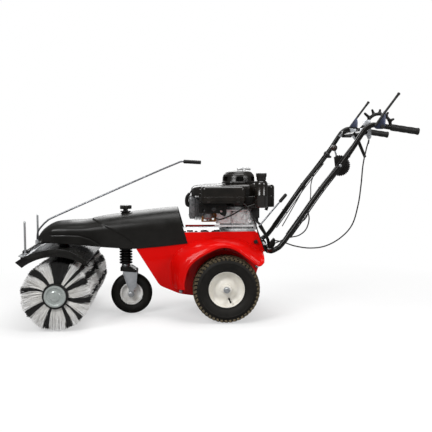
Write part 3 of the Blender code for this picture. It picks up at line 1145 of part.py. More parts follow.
# ---------------------------------------------------------------- assembly
def main():
    for old in list(bpy.data.objects):
        bpy.data.objects.remove(old)
    chassis = add_body("chassis", (0, 0, 0))
    crank = add_body("crank_turn", (CRANK_X, 0, BELT_Z), chassis)
    brush_input = add_body("brush_input_turn", (PIVOT_X, 0, BELT_Z), chassis)
    head = add_body("head_swivel", (PIVOT_X, 0, PIVOT_BOTTOM), chassis)
    brush = add_body("brush_spin", (BRUSH_X, 0, BRUSH_Z), head)
    knob = add_body("height_turn", (CASTER_X, 0, KNOB_TOP), chassis)
    lift = add_body("caster_lift", (CASTER_X, 0, CROWN_TOP), chassis)
    swivel = add_body("caster_swivel", (CASTER_X, 0, CROWN_TOP), lift)
    caster = add_body("caster_spin", (CASTER_X + CASTER_TRAIL, 0, CASTER_RADIUS), swivel)
    cap = add_body("cap_turn", (*CAP_CENTRE[:2], TANK_TOP), chassis)
    starter = add_body("starter_pull", (STARTER_X, 0, RECOIL_TOP), chassis)
    handle = add_body("handle_tilt", (HANDLE_BASE_X, 0, HANDLE_BASE_Z), chassis)
    clutches = {}
    for side, word in ((-1, "left"), (1, "right")):
        anchor = (LEVER_PIVOT[0], side * HALF_HANDLE, LEVER_PIVOT[1])
        clutches[side] = add_body(f"clutch_turn_{word}", anchor, handle)
    speed = add_body("speed_turn", (QUADRANT_CENTRE[0], -HALF_HANDLE, QUADRANT_CENTRE[1]), handle)
    release = add_body("release_turn", (HANDLE_BASE_X, RELEASE_Y, HANDLE_BASE_Z), chassis)

    build_frame(chassis)
    build_hood(chassis)
    build_body(chassis)
    build_gearbox(chassis)
    build_drive_line(chassis, crank, brush_input)
    build_handle_bracket(chassis)
    for side, word in ((-1, "left"), (1, "right")):
        wheel = add_body(f"wheel_spin_{word}", (0, side * HALF_TRACK, AXLE_Z), chassis)
        build_wheel(side, wheel)
    build_caster(chassis, knob, lift, swivel, caster)
    build_head(head)
    build_brush(brush)
    build_engine(chassis, cap, starter)
    build_handle(handle)
    build_levers(clutches, speed, release)


main()
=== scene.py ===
"""Looks of the walk-behind sweeper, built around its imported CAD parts, in metres.

The layout values count X from the wheel axle, as the part's source does; fit() moves each
finished piece by MIDDLE_OFFSET into the row's frame. X runs from brush to handlebar, Z up.
"""

import json
import math
import random

import bpy
from mathutils import Matrix, Vector


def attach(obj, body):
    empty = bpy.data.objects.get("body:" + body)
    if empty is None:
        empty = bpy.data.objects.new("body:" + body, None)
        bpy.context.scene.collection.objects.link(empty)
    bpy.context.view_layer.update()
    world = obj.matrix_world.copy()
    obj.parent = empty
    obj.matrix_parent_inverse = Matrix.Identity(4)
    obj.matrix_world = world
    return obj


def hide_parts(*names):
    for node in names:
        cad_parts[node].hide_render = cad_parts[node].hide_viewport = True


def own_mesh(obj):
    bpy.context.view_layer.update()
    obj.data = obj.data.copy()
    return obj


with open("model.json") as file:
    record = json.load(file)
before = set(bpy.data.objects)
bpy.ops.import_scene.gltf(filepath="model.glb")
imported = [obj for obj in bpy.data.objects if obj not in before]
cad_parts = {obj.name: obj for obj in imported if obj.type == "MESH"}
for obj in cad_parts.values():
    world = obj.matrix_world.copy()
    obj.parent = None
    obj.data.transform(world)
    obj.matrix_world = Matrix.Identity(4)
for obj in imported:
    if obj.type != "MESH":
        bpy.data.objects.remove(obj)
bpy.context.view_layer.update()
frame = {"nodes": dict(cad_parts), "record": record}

MIDDLE_OFFSET = 0.0198
CLEARANCE = 0.0003
AXLE_Z = 0.165
HALF_TRACK = 0.215
HALF_BODY = 0.142
FENDER_OUTER_Y = 0.280
SHEET = 0.003
BRUSH = Vector((-0.800, 0.0, 0.168))
CASTER_X = -0.503
CRANK = Vector((0.078, 0.0, 0.0))
HALF_HANDLE = 0.245
TUBE_RADIUS = 0.0125
HANDLE_BASE = (0.216, 0.347)
LEVER_PIVOT = (0.748, 0.952)
QUADRANT = (0.557, 0.765)
RELEASE_Y = -0.150
PANEL_TOP = (0.1575, 0.432)
PANEL_KNEE = (0.1905, 0.334)


# ------------------------------------------------------------ making pieces
def deselect():
    if bpy.context.mode != "OBJECT":
        bpy.ops.object.mode_set(mode="OBJECT")
    bpy.ops.object.select_all(action="DESELECT")


def take(piece):
    """Make one piece the only one selected, and the active one."""
    deselect()
    piece.select_set(True)
    bpy.context.view_layer.objects.active = piece


def apply(piece, kind, **settings):
    """Add a modifier with its settings and apply it."""
    modifier = piece.modifiers.new(kind.lower(), kind)
    for name, value in settings.items():
        setattr(modifier, name, value)
    take(piece)
    bpy.ops.object.modifier_apply(modifier=modifier.name)
    return piece


def round_edges(piece, width, steps=2, angle=32):
    return apply(piece, "BEVEL", width=width, segments=steps, limit_method="ANGLE",
                 angle_limit=math.radians(angle), miter_outer="MITER_ARC")


def ring_of(name, count, filled=False):
    deselect()
    bpy.ops.mesh.primitive_circle_add(vertices=count, radius=1.0,
                                      fill_type="NGON" if filled else "NOTHING")
    piece = bpy.context.object
    piece.name = name
    piece.data.name = name
    return piece


def close_up(piece, gap=0.00012):
    """Merge doubled points and turn all faces outwards."""
    take(piece)
    bpy.ops.object.mode_set(mode="EDIT")
    bpy.ops.mesh.select_all(action="SELECT")
    bpy.ops.mesh.remove_doubles(threshold=gap)
    bpy.ops.mesh.normals_make_consistent(inside=False)
    bpy.ops.object.mode_set(mode="OBJECT")
    return piece


def turned(name, profile, centre=(0, 0, 0), axis=(0, 0, 1), steps=48):
    """Turned shape: a ring is extruded height by height and scaled to each radius."""
    rings = [(max(radius, 5e-5), height) for radius, height in profile]
    piece = ring_of(name, steps)
    bpy.ops.object.mode_set(mode="EDIT")
    bpy.ops.mesh.select_all(action="SELECT")
    radius, height = rings[0]
    bpy.ops.transform.resize(value=(radius, radius, 1), center_override=(0, 0, 0))
    bpy.ops.transform.translate(value=(0, 0, height))
    for wide, high in rings[1:]:
        bpy.ops.mesh.extrude_region_move(TRANSFORM_OT_translate={"value": (0, 0, high - height)})
        share = wide / radius
        bpy.ops.transform.resize(value=(share, share, 1), center_override=(0, 0, high))
        radius, height = wide, high
    bpy.ops.object.mode_set(mode="OBJECT")
    close_up(piece)
    turn = Vector((0, 0, 1)).rotation_difference(Vector(axis)).to_matrix().to_4x4()
    piece.data.transform(Matrix.Translation(centre) @ turn)
    return piece


def bar(name, radius, low, high, centre=(0, 0, 0), axis=(0, 0, 1), edge=0.0, steps=32):
    """Round bar with a small chamfer at both ends."""
    edge = edge or radius * 0.08
    profile = [(0, low), (radius - edge, low), (radius, low + edge), (radius, high - edge),
               (radius - edge, high), (0, high)]
    return turned(name, profile, centre, axis, steps)


SPREAD = {"XZ": lambda a, b, c: (a, c, b), "XY": lambda a, b, c: (a, b, c),
          "YZ": lambda a, b, c: (c, a, b)}


def plate(name, outline, low, high, plane="XZ", edge=0.0, steps=2):
    """Flat plate: a filled ring is laid on the outline, extruded and its edges rounded."""
    piece = ring_of(name, len(outline), True)
    for vert, (a, b) in zip(piece.data.vertices, outline):
        vert.co = SPREAD[plane](a, b, low)
    bpy.ops.object.mode_set(mode="EDIT")
    bpy.ops.mesh.select_all(action="SELECT")
    bpy.ops.mesh.extrude_region_move(
        TRANSFORM_OT_translate={"value": SPREAD[plane](0, 0, high - low)})
    bpy.ops.object.mode_set(mode="OBJECT")
    close_up(piece)
    if edge:
        round_edges(piece, edge, steps)
    return piece


def block(name, x0, x1, y0, y1, z0, z1, edge=0.0, steps=3):
    """Cube brought to size, with rounded edges."""
    deselect()
    bpy.ops.mesh.primitive_cube_add(size=1.0)
    piece = bpy.context.object
    piece.name = name
    bpy.ops.object.mode_set(mode="EDIT")
    bpy.ops.mesh.select_all(action="SELECT")
    bpy.ops.transform.resize(value=(x1 - x0, y1 - y0, z1 - z0))
    bpy.ops.object.mode_set(mode="OBJECT")
    piece.data.transform(Matrix.Translation(((x0 + x1) / 2, (y0 + y1) / 2, (z0 + z1) / 2)))
    if edge:
        round_edges(piece, edge, steps)
    return piece


def laid(name, along, across, place, wall=0.0, offset=-1.0):
    """Grid laid point by point on a surface; wall gives it its thickness."""
    deselect()
    bpy.ops.mesh.primitive_grid_add(x_subdivisions=along, y_subdivisions=across, size=1.0)
    piece = bpy.context.object
    piece.name = name
    for vert in piece.data.vertices:
        vert.co = place(vert.co.x + 0.5, vert.co.y + 0.5)
    if wall:
        close_up(piece, 1e-5)
        apply(piece, "SOLIDIFY", thickness=wall, offset=offset)
    return piece


def smooth_route(points, spacing):
    """Points about one spacing apart on a smooth curve through the given ones."""
    points = [Vector(p) for p in points]
    padded = [2 * points[0] - points[1], *points, 2 * points[-1] - points[-2]]
    route = []
    for a, b, c, d in zip(padded, padded[1:], padded[2:], padded[3:]):
        steps = max(1, round((c - b).length / spacing))
        for step in range(steps):
            t = step / steps
            route.append(0.5 * (2 * b + (c - a) * t + (2 * a - 5 * b + 4 * c - d) * t ** 2
                                + (3 * b - 3 * c + d - a) * t ** 3))
    route.append(points[-1])
    return route


def in_plane(points, y):
    return [(x, y, z) for x, z in points]


def tube(name, points, radius, spacing=0.01, rounds=4, sizes=None):
    """Bent bar or tube along a smooth route, made from a bevelled curve."""
    curve = bpy.data.curves.new(name, "CURVE")
    curve.dimensions = "3D"
    curve.bevel_depth = radius
    curve.bevel_resolution = rounds
    curve.use_fill_caps = True
    spline = curve.splines.new("POLY")
    route = smooth_route(points, spacing)
    spline.points.add(len(route) - 1)
    for number, (point, spot) in enumerate(zip(spline.points, route)):
        point.co = (*spot, 1.0)
        if sizes:
            place = number / (len(route) - 1) * (len(sizes) - 1)
            low = min(int(place), len(sizes) - 2)
            point.radius = sizes[low] + (sizes[low + 1] - sizes[low]) * (place - low)
    piece = bpy.data.objects.new(name, curve)
    bpy.context.collection.objects.link(piece)
    take(piece)
    bpy.ops.object.convert(target="MESH")
    return close_up(bpy.context.object, 1e-5)


def arc(centre, radius, start, stop, steps):
    angles = [math.radians(start + (stop - start) * k / steps) for k in range(steps + 1)]
    return [(centre[0] + radius * math.cos(a), centre[1] + radius * math.sin(a)) for a in angles]


def rounded(outline, radius, steps=4):
    """The outline with each corner drawn round."""
    made = []
    count = len(outline)
    for i in range(count):
        corner = Vector(outline[i])
        for other in (outline[i - 1], outline[(i + 1) % count]):
            arm = Vector(other) - corner
            reach = min(radius, 0.42 * arm.length)
            made.append(corner + arm.normalized() * reach)
        start, stop = made.pop(-2), made.pop(-1)
        for k in range(steps + 1):
            t = k / steps
            made.append(start * (1 - t) ** 2 + corner * 2 * t * (1 - t) + stop * t ** 2)
    return [tuple(p) for p in made]


def round_box(x0, x1, y0, y1, radius, steps=8):
    corners = [((x1 - radius, y1 - radius), 0), ((x0 + radius, y1 - radius), 90),
               ((x0 + radius, y0 + radius), 180), ((x1 - radius, y0 + radius), 270)]
    return [p for centre, start in corners for p in arc(centre, radius, start, start + 90, steps)]


def cut(piece, *tools):
    """Cut the tools out of the piece and throw them away."""
    for tool in tools:
        apply(piece, "BOOLEAN", operation="DIFFERENCE", object=tool, solver="EXACT")
        bpy.data.objects.remove(tool)
        if not piece.data.polygons:
            raise RuntimeError(f"{piece.name} was cut away completely")
    return piece


def joined(pieces):
    deselect()
    for piece in pieces:
        piece.select_set(True)
    bpy.context.view_layer.objects.active = pieces[0]
    bpy.ops.object.join()
    return bpy.context.object


def copied(piece, matrix):
    """A copy with its own mesh, moved by the matrix."""
    other = piece.copy()
    other.data = piece.data.copy()
    bpy.context.collection.objects.link(other)
    other.data.transform(matrix)
    return other


def mirrored(piece, name):
    """A copy on the other side of the machine, its faces turned outwards again."""
    other = copied(piece, Matrix.Scale(-1, 4, (0, 1, 0)))
    other.name = name
    other.data.flip_normals()
    return other


def fit(piece, material, body, slot, *nodes, angle=35):
    """Finish a piece: smooth faces, row frame, material, body and what it stands for."""
    take(piece)
    bpy.ops.object.transform_apply(location=True, rotation=True, scale=True)
    bpy.ops.object.shade_smooth_by_angle(angle=math.radians(angle))
    piece.data.transform(Matrix.Translation((MIDDLE_OFFSET, 0, 0)))
    piece.data.materials.clear()
    piece.data.materials.append(material)
    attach(piece, body)
    if nodes:
        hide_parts(*nodes)
    return piece


# ------------------------------------------------------------ materials
def linear(code):
    parts = [int(code[i:i + 2], 16) / 255 for i in (0, 2, 4)]
    return (*[c / 12.92 if c < 0.04045 else ((c + 0.055) / 1.055) ** 2.4 for c in parts], 1.0)


def add(tree, kind, inputs=None, **settings):
    """One node with its settings; an input is a value or another node's output."""
    made = tree.nodes.new(kind)
    for name, value in settings.items():
        setattr(made, name, value)
    for name, value in (inputs or {}).items():
        if isinstance(value, bpy.types.NodeSocket):
            tree.links.new(value, made.inputs[name])
        else:
            made.inputs[name].default_value = value
    return made


def start_material(name, roughness, metallic=0.0, **sockets):
    material = bpy.data.materials.new(name)
    material.use_nodes = True
    shader = material.node_tree.nodes["Principled BSDF"]
    shader.inputs["Roughness"].default_value = roughness
    shader.inputs["Metallic"].default_value = metallic
    for socket, value in sockets.items():
        shader.inputs[socket.replace("_", " ")].default_value = value
    return material, material.node_tree, shader


def surface(name, colour, other, spot_mm, roughness, spread, grain_mm, grain_depth_mm,
            metallic=0.0, amount=1.0, **sockets):
    """Two close colours and a drifting roughness in soft spots, over a fine surface grain."""
    material, tree, shader = start_material(name, roughness, metallic, **sockets)
    place = add(tree, "ShaderNodeTexCoord").outputs["Object"]
    spots = add(tree, "ShaderNodeTexNoise", {"Vector": place, "Scale": 1000 / spot_mm,
                                             "Detail": 4.0, "Roughness": 0.6}).outputs["Fac"]
    share = add(tree, "ShaderNodeMapRange", {"Value": spots, "From Min": 0.35, "From Max": 0.65,
                                             "To Max": amount}).outputs["Result"]
    blend = add(tree, "ShaderNodeMix", {0: share, 6: linear(colour), 7: linear(other)},
                data_type="RGBA")
    tree.links.new(blend.outputs[2], shader.inputs["Base Color"])
    rough = add(tree, "ShaderNodeMapRange", {"Value": spots, "From Min": 0.3, "From Max": 0.7,
                                             "To Min": roughness - spread,
                                             "To Max": roughness + spread})
    tree.links.new(rough.outputs["Result"], shader.inputs["Roughness"])
    grain = add(tree, "ShaderNodeTexNoise", {"Vector": place, "Scale": 1000 / grain_mm,
                                             "Detail": 2.0}).outputs["Fac"]
    bump = add(tree, "ShaderNodeBump", {"Height": grain, "Strength": 0.5,
                                        "Distance": grain_depth_mm / 1000})
    tree.links.new(bump.outputs["Normal"], shader.inputs["Normal"])
    return material


def bristle_material(name, dark, light, tip):
    """Crimped polypropylene bristle: streaks run outwards from the brush's axle, their darker
    colour painted shade in the gaps between strands.
    """
    material, tree, shader = start_material(name, 0.55)
    place = add(tree, "ShaderNodeTexCoord").outputs["Object"]
    centred = add(tree, "ShaderNodeMapping", {
        "Vector": place, "Location": (-BRUSH.x - MIDDLE_OFFSET, 0, -BRUSH.z)}).outputs["Vector"]
    parts = add(tree, "ShaderNodeSeparateXYZ", {0: centred}).outputs
    turn = add(tree, "ShaderNodeMath", {0: parts["Z"], 1: parts["X"]}, operation="ARCTAN2")
    across = add(tree, "ShaderNodeMath", {0: turn.outputs[0], 1: 26.0}, operation="MULTIPLY")
    side = add(tree, "ShaderNodeMath", {0: parts["Y"], 1: 160.0}, operation="MULTIPLY")
    flat = add(tree, "ShaderNodeCombineXYZ", {0: parts["X"], 1: 0.0, 2: parts["Z"]})
    reach = add(tree, "ShaderNodeVectorMath", {0: flat.outputs[0]}, operation="LENGTH")
    spot = add(tree, "ShaderNodeCombineXYZ", {0: across.outputs[0], 1: side.outputs[0],
                                              2: reach.outputs["Value"]}).outputs[0]
    streak = add(tree, "ShaderNodeTexNoise", {"Vector": spot, "Scale": 1.6, "Detail": 3.0,
                                              "Roughness": 0.7}).outputs["Fac"]
    sharp = add(tree, "ShaderNodeMapRange", {"Value": streak, "From Min": 0.37,
                                             "From Max": 0.50}).outputs["Result"]
    # the darker streak colour is painted shade between the strands, the lighter one the strands
    # themselves
    blend = add(tree, "ShaderNodeMix", {0: sharp, 6: linear(dark), 7: linear(light)},
                data_type="RGBA")
    outer = add(tree, "ShaderNodeMapRange", {"Value": reach.outputs["Value"], "From Min": 0.05,
                                             "From Max": 0.16}).outputs["Result"]
    final = add(tree, "ShaderNodeMix", {0: outer, 6: linear(tip), 7: blend.outputs[2]},
                data_type="RGBA")
    tree.links.new(final.outputs[2], shader.inputs["Base Color"])
    bump = add(tree, "ShaderNodeBump", {"Height": streak, "Strength": 0.6, "Distance": 0.001})
    tree.links.new(bump.outputs["Normal"], shader.inputs["Normal"])
    return material


# powder-baked gloss enamel on pressed steel: deep even red with a slight orange peel
RED = surface("red_stove_enamel", "D80A06", "C80604", 140, 0.34, 0.05, 9, 0.05, amount=0.6,
              Specular_IOR_Level=0.05, Coat_Weight=0.20, Coat_Roughness=0.04)
# rotation-moulded polyethylene: satin black skin that scatters light softly
HOOD = surface("moulded_polyethylene", "141311", "1A1917", 60, 0.34, 0.05, 2.4, 0.10,
               Specular_IOR_Level=0.26)
# engine covers: glass-filled nylon, a little glossier than the hood
COVER = surface("glass_filled_nylon", "171513", "211F1C", 40, 0.27, 0.07, 2.0, 0.03,
                Specular_IOR_Level=0.40)
# polished engine covers: deep black with sharp highlights and a warm edge
GLOSS = surface("glossy_moulded_cover", "14120F", "1F1B17", 60, 0.16, 0.05, 6.0, 0.03,
                Specular_IOR_Level=0.60)
# powder coat on tube and plate: near black, with a soft narrow highlight
TUBE_BLACK = surface("black_powder_coat", "0F0E0D", "171614", 50, 0.28, 0.06, 2.5, 0.04,
                     Specular_IOR_Level=0.26)
# bright zinc plating: silver with a faint cloudy passivation
ZINC = surface("zinc_plated_steel", "C9CBCC", "AEB1B4", 22, 0.34, 0.08, 4, 0.03, metallic=0.85)
# hot-dip galvanised sheet: paler and flatter than plating, with faint spangle
PALE_ZINC = surface("galvanised_sheet", "C3C6CA", "B2B6BA", 30, 0.40, 0.06, 5, 0.04, metallic=0.55)
# cooling fins, rocker cover and carburettor: the same casting, its colour darkened as painted shade
# under the engine covers
SHADED_CAST = surface("painted_shade_cast", "8A8B8C", "5F6061", 12, 0.50, 0.08, 2.2, 0.12, metallic=0.55)
# as-cast aluminium, faintly rough from the mould: light grey, its base raised near white so the
# crankcase in the air box's shadow still reads bright; partly its own colour, partly painted light
CAST = surface("cast_aluminium", "F6F6F5", "D2D3D4", 12, 0.50, 0.08, 2.2, 0.14, metallic=0.25)
# tyre sidewall: dull warm black
RUBBER = surface("tyre_rubber", "141311", "1E1C19", 35, 0.60, 0.08, 3, 0.10,
                 Specular_IOR_Level=0.20)
# tread lugs: dark rubber with pale brown patches painted on as the glints along the tread: painted
# highlight
PAINTED_GLINT_TREAD = surface("tread_rubber_painted_glints", "211F1A", "75664A", 7, 0.70, 0.08, 3, 0.15)
# grips, boots and belts: softer black rubber with a faint sheen
SOFT_RUBBER = surface("moulded_rubber", "121211", "1C1B1A", 20, 0.50, 0.08, 2, 0.06,
                      Specular_IOR_Level=0.30)
# drive wheel discs: smooth cream enamel
CREAM = surface("cream_wheel_enamel", "F3F0E8", "EBE6DB", 50, 0.34, 0.05, 8, 0.04)
# caster wheel: white moulded nylon, its base set to pure white so the recessed wheel still reads
# bright in its shade; partly its own colour, partly painted light
WHITE_RIM = surface("white_nylon_wheel", "FFFFFE", "F3F1EC", 30, 0.40, 0.05, 4, 0.03)
# pressed cap at the brush end: grey metallic paint
GREY_CAP = surface("grey_pressed_cap", "B4BAB7", "A5ACA9", 25, 0.30, 0.06, 6, 0.03, metallic=0.35)
# oiled mild steel: dark grey with a dull shine
STEEL = surface("dark_oiled_steel", "343433", "262625", 14, 0.42, 0.08, 3, 0.05, metallic=0.5)
# drawn steel rod: mid grey, streak-free and a little shiny
ROD_STEEL = surface("drawn_steel_rod", "84868A", "6C6E72", 18, 0.30, 0.08, 3, 0.03, metallic=0.85)
# levers: blued steel, bluish grey
BLUE_STEEL = surface("blued_lever_steel", "3F455C", "333848", 18, 0.38, 0.06, 3, 0.04, metallic=0.6)
# yellow chromate on small steel parts: brown gold
BROWN = surface("yellow_chromate_steel", "8C5B20", "6E4416", 12, 0.42, 0.08, 3, 0.05, metallic=0.5)
# shift knob: glossy phenolic, brown black
BALL = surface("brown_black_knob", "2A1D17", "1B1310", 15, 0.22, 0.04, 6, 0.02)
# cable sheath: matt black vinyl
SHEATH = surface("cable_sheath", "121212", "1B1B1B", 20, 0.45, 0.06, 2, 0.03)
# polypropylene bristles, white and black, streaked along their length: the darker streaks are
# painted shade in the gaps between strands
WHITE_BRISTLE = bristle_material("white_polypropylene_bristle", "A9A59C", "FFFFFF", "E9E7E2")
BLACK_BRISTLE = bristle_material("black_polypropylene_bristle", "0A0A0A", "201F1E", "080808")

FINISHES = {"red_paint": RED, "black_plastic": COVER, "black_paint": TUBE_BLACK, "zinc": ZINC,
            "cast_aluminium": CAST, "tyre_rubber": RUBBER, "cream_paint": CREAM,
            "white_bristle": WHITE_BRISTLE, "black_bristle": BLACK_BRISTLE,
            "grip_rubber": SOFT_RUBBER, "belt_rubber": SOFT_RUBBER, "dark_steel": STEEL,
            "blue_steel": BLUE_STEEL, "cable_sheath": SHEATH}
for part in frame["record"]["subparts"]:
    node = frame["nodes"][part["node"]]
    node.data.materials.clear()
    node.data.materials.append(FINISHES[part["material_slot"]])


# ------------------------------------------------------------ camera, light and floor
def place_camera():
    camera = bpy.data.objects.new("camera", bpy.data.cameras.new("camera"))
    camera.data.lens = 57.5
    camera.data.sensor_width = 36
    camera.location = (-0.2137, -3.55, 0.8060)
    camera.rotation_euler = (math.radians(90 - 4.88), 0, math.radians(-3.152))
    bpy.context.collection.objects.link(camera)
    bpy.context.scene.camera = camera
    bpy.context.scene.view_settings.view_transform = "Standard"


def place_lamp(name, spot, target, size, watts):
    lamp = bpy.data.objects.new(name, bpy.data.lights.new(name, "AREA"))
    lamp.data.shape = "SQUARE"
    lamp.data.size = size
    lamp.data.energy = watts
    lamp.location = spot
    lamp.rotation_euler = (Vector(target) - Vector(spot)).to_track_quat("-Z", "Y").to_euler()
    bpy.context.collection.objects.link(lamp)


def light_and_floor():
    place_lamp("key", (-2.4, -3.0, 2.8), (-0.2, 0, 0.35), 1.7, 112)
    place_lamp("side", (2.8, -2.6, 2.2), (0.2, 0, 0.4), 1.5, 56)
    place_lamp("top", (0.1, -0.3, 3.4), (0, 0, 0.3), 2.2, 70)
    place_lamp("rear", (-0.2, 3.4, 2.2), (0, 0, 0.5), 2.4, 60)
    world = bpy.data.worlds.new("studio")
    world.use_nodes = True
    bpy.context.scene.world = world
    tree = world.node_tree
    rays = add(tree, "ShaderNodeLightPath").outputs
    level = add(tree, "ShaderNodeMapRange", {"Value": rays["Is Camera Ray"], "To Min": 0.18,
                                             "To Max": 1.0})
    backing = tree.nodes["Background"]
    backing.inputs["Color"].default_value = (1, 1, 1, 1)
    tree.links.new(level.outputs["Result"], backing.inputs["Strength"])

    deselect()
    bpy.ops.mesh.primitive_plane_add(size=30.0)
    floor = bpy.context.object
    floor.name = "floor"
    material, tree, shader = start_material("white_floor", 0.9)
    rays = add(tree, "ShaderNodeLightPath").outputs
    tone = add(tree, "ShaderNodeMix", {0: rays["Is Camera Ray"], 6: (0.32, 0.32, 0.32, 1),
                                       7: (0.88, 0.88, 0.88, 1)}, data_type="RGBA")
    tree.links.new(tone.outputs[2], shader.inputs["Base Color"])
    place = add(tree, "ShaderNodeTexCoord").outputs["Object"]
    away = add(tree, "ShaderNodeVectorMath", {0: place}, operation="LENGTH").outputs["Value"]
    # close to the machine the floor keeps its shadow, further out it is the white of the sheet
    white_share = add(tree, "ShaderNodeMapRange", {"Value": away, "From Min": 0.9, "From Max": 2.0,
                                                   "To Min": 0.50, "To Max": 1.0})
    share = add(tree, "ShaderNodeMath", {0: rays["Is Camera Ray"],
                                         1: white_share.outputs["Result"]}, operation="MULTIPLY")
    white = add(tree, "ShaderNodeEmission", {"Color": (1, 1, 1, 1), "Strength": 1.0})
    mix = add(tree, "ShaderNodeMixShader", {0: share.outputs[0], 1: shader.outputs[0],
                                            2: white.outputs[0]})
    tree.links.new(mix.outputs[0], tree.nodes["Material Output"].inputs["Surface"])
    floor.data.materials.append(material)


place_camera()
light_and_floor()


# ------------------------------------------------------------ hood
# stations: X at the top, X at the bottom edge, top Z, bottom Z, width share
HOOD_STATIONS = [
    (-0.9395, -0.9395, 0.396, 0.3885, 0.20), (-0.938, -0.938, 0.402, 0.388, 0.38),
    (-0.930, -0.930, 0.421, 0.388, 0.56), (-0.905, -0.905, 0.453, 0.387, 0.75),
    (-0.857, -0.857, 0.481, 0.384, 0.885), (-0.786, -0.786, 0.489, 0.379, 0.93),
    (-0.694, -0.694, 0.494, 0.370, 0.945), (-0.600, -0.600, 0.510, 0.361, 0.965),
    (-0.510, -0.510, 0.523, 0.355, 0.985), (-0.450, -0.450, 0.531, 0.353, 1.0),
    (-0.334, -0.314, 0.544, 0.365, 1.0), (-0.237, -0.187, 0.5525, 0.379, 1.0),
]
# the overlap line of the hood's two mouldings, and the pressed line low on its nose, side view
CREASE = [(0.353, -0.436), (0.390, -0.466), (0.415, -0.498), (0.450, -0.5616), (0.481, -0.620),
          (0.503, -0.679), (0.560, -0.735)]
NOSE_LINE = [(-0.862, 0.4215), (-0.786, 0.422), (-0.7174, 0.418), (-0.6687, 0.403),
             (-0.6347, 0.383), (-0.622, 0.372)]


def between(table, value):
    """Straight-line look-up in a table of (value, result) pairs."""
    for (a, ra), (b, rb) in zip(table, table[1:]):
        if value <= b:
            return ra + (rb - ra) * max(0.0, (value - a) / (b - a))
    return table[-1][1]


def line_distance(line, x, z):
    best = 1.0
    for (ax, az), (bx, bz) in zip(line, line[1:]):
        run = Vector((bx - ax, bz - az))
        arm = Vector((x - ax, z - az))
        t = min(1.0, max(0.0, arm.dot(run) / run.length_squared))
        best = min(best, (arm - run * t).length)
    return best


def hood_skin(inset):
    route = smooth_route([station[:3] for station in HOOD_STATIONS], 0.003)
    count = len(route)
    # bottom height and width share follow the top line's X
    lows = [(s[0], s[3]) for s in HOOD_STATIONS]
    feet = [(s[0], s[1]) for s in HOOD_STATIONS]
    shares = [(s[0], s[4]) for s in HOOD_STATIONS]
    full = HALF_BODY + 0.0035

    def place(u, v):
        spot = route[round(u * (count - 1))]
        x_top, z_top = spot[0], spot[2] - inset
        z_low = between(lows, x_top)
        x_low = between(feet, x_top)
        half = full * between(shares, x_top) - inset
        waist = z_low + 0.50 * (z_top - z_low)
        if v < 0.2 or v > 0.8:
            side = 1 if v < 0.2 else -1
            share = v / 0.2 if v < 0.2 else (1 - v) / 0.2
            y, z = side * half, z_low + (waist - z_low) * share
        else:
            t = math.pi * (v - 0.2) / 0.6
            c, s = math.cos(t), math.sin(t)
            y = half * math.copysign(abs(c) ** 0.86, c)
            z = waist + (z_top - waist) * abs(s) ** 0.80
        rise = (z - z_low) / max(z_top - z_low, 1e-4)
        x = x_low + (x_top - x_low) * rise
        away = Vector((0, y / half, max(0.0, z - waist) / 0.06)).normalized()
        step = x - between(CREASE, z)
        lift = 0.0036 / (1 + math.exp(-step / 0.0009)) - 0.0036
        if abs(y) > 0.6 * half:
            lift -= 0.0022 * math.exp(-(line_distance(NOSE_LINE, x, z) / 0.0028) ** 2)
        return Vector((x, y, z)) + away * lift

    return place


def build_hood():
    hood = laid("hood_shell", 300, 110, hood_skin(0.0), wall=0.003)
    hole = bar("spindle_hole", 0.0212, 0.45, 0.60, (CASTER_X, 0, 0))
    cut(hood, hole)
    fit(hood, HOOD, "chassis", "black_plastic", "hood", angle=50)
    clip = [block(f"nose_clip_{k}", x, x + 0.022, y - 0.006, y + 0.006, 0.378, 0.397, 0.003)
            for k, (x, y) in enumerate([(-0.915, -0.096), (-0.915, 0.096)])]
    fit(joined(clip), COVER, "chassis", "black_plastic")


build_hood()


# ------------------------------------------------------------ red body
SIDE_PLATE = [
    (-0.446, 0.359), (-0.327, 0.168), (-0.231, 0.127), (-0.167, 0.1165), (0.100, 0.1165),
    (0.145, 0.160), (0.157, 0.230), (0.173, 0.2725), (0.1815, 0.305), (0.195, 0.333),
    (0.159, 0.437), (-0.200, 0.434), (-0.300, 0.415), (-0.400, 0.400), (-0.446, 0.385),
]
FENDER_EDGE = [
    (-0.215, 0.171), (-0.215, 0.210), (-0.193, 0.282), (-0.144, 0.331), (-0.061, 0.375),
    (-0.0055, 0.3855), (0.049, 0.369), (0.105, 0.329), (0.1605, 0.290), (0.180, 0.298),
]
FENDER_ROOT = [
    (-0.262, 0.171), (-0.270, 0.225), (-0.262, 0.300), (-0.222, 0.350), (-0.150, 0.385),
    (-0.060, 0.404), (0.020, 0.404), (0.090, 0.388), (0.148, 0.350), (0.186, 0.335),
]


def fender_skin():
    root = smooth_route(in_plane(FENDER_ROOT, 0), 0.004)
    edge = smooth_route(in_plane(FENDER_EDGE, 0), 0.004)
    bow = smooth_route([(0.0, HALF_BODY - 0.001, 0), (0.22, HALF_BODY + 0.072, 0),
                        (0.58, FENDER_OUTER_Y - 0.018, 0), (1.0, FENDER_OUTER_Y - 0.002, 0)],
                       0.02)
    hub = Vector((0, 0, AXLE_Z))

    def place(u, v):
        inner = root[round(u * (len(root) - 1))]
        outer = edge[round(u * (len(edge) - 1))]
        if v <= 0.86:
            share, y, _ = bow[round(v / 0.86 * (len(bow) - 1))]
            spot = inner.lerp(outer, share)
        else:
            turn = (v - 0.86) / 0.14
            spot = outer + (hub - outer).normalized() * 0.012 * turn
            y = FENDER_OUTER_Y - 0.002 * (1 - min(1.0, turn * 4))
        return Vector((spot.x, -y, spot.z))

    return place


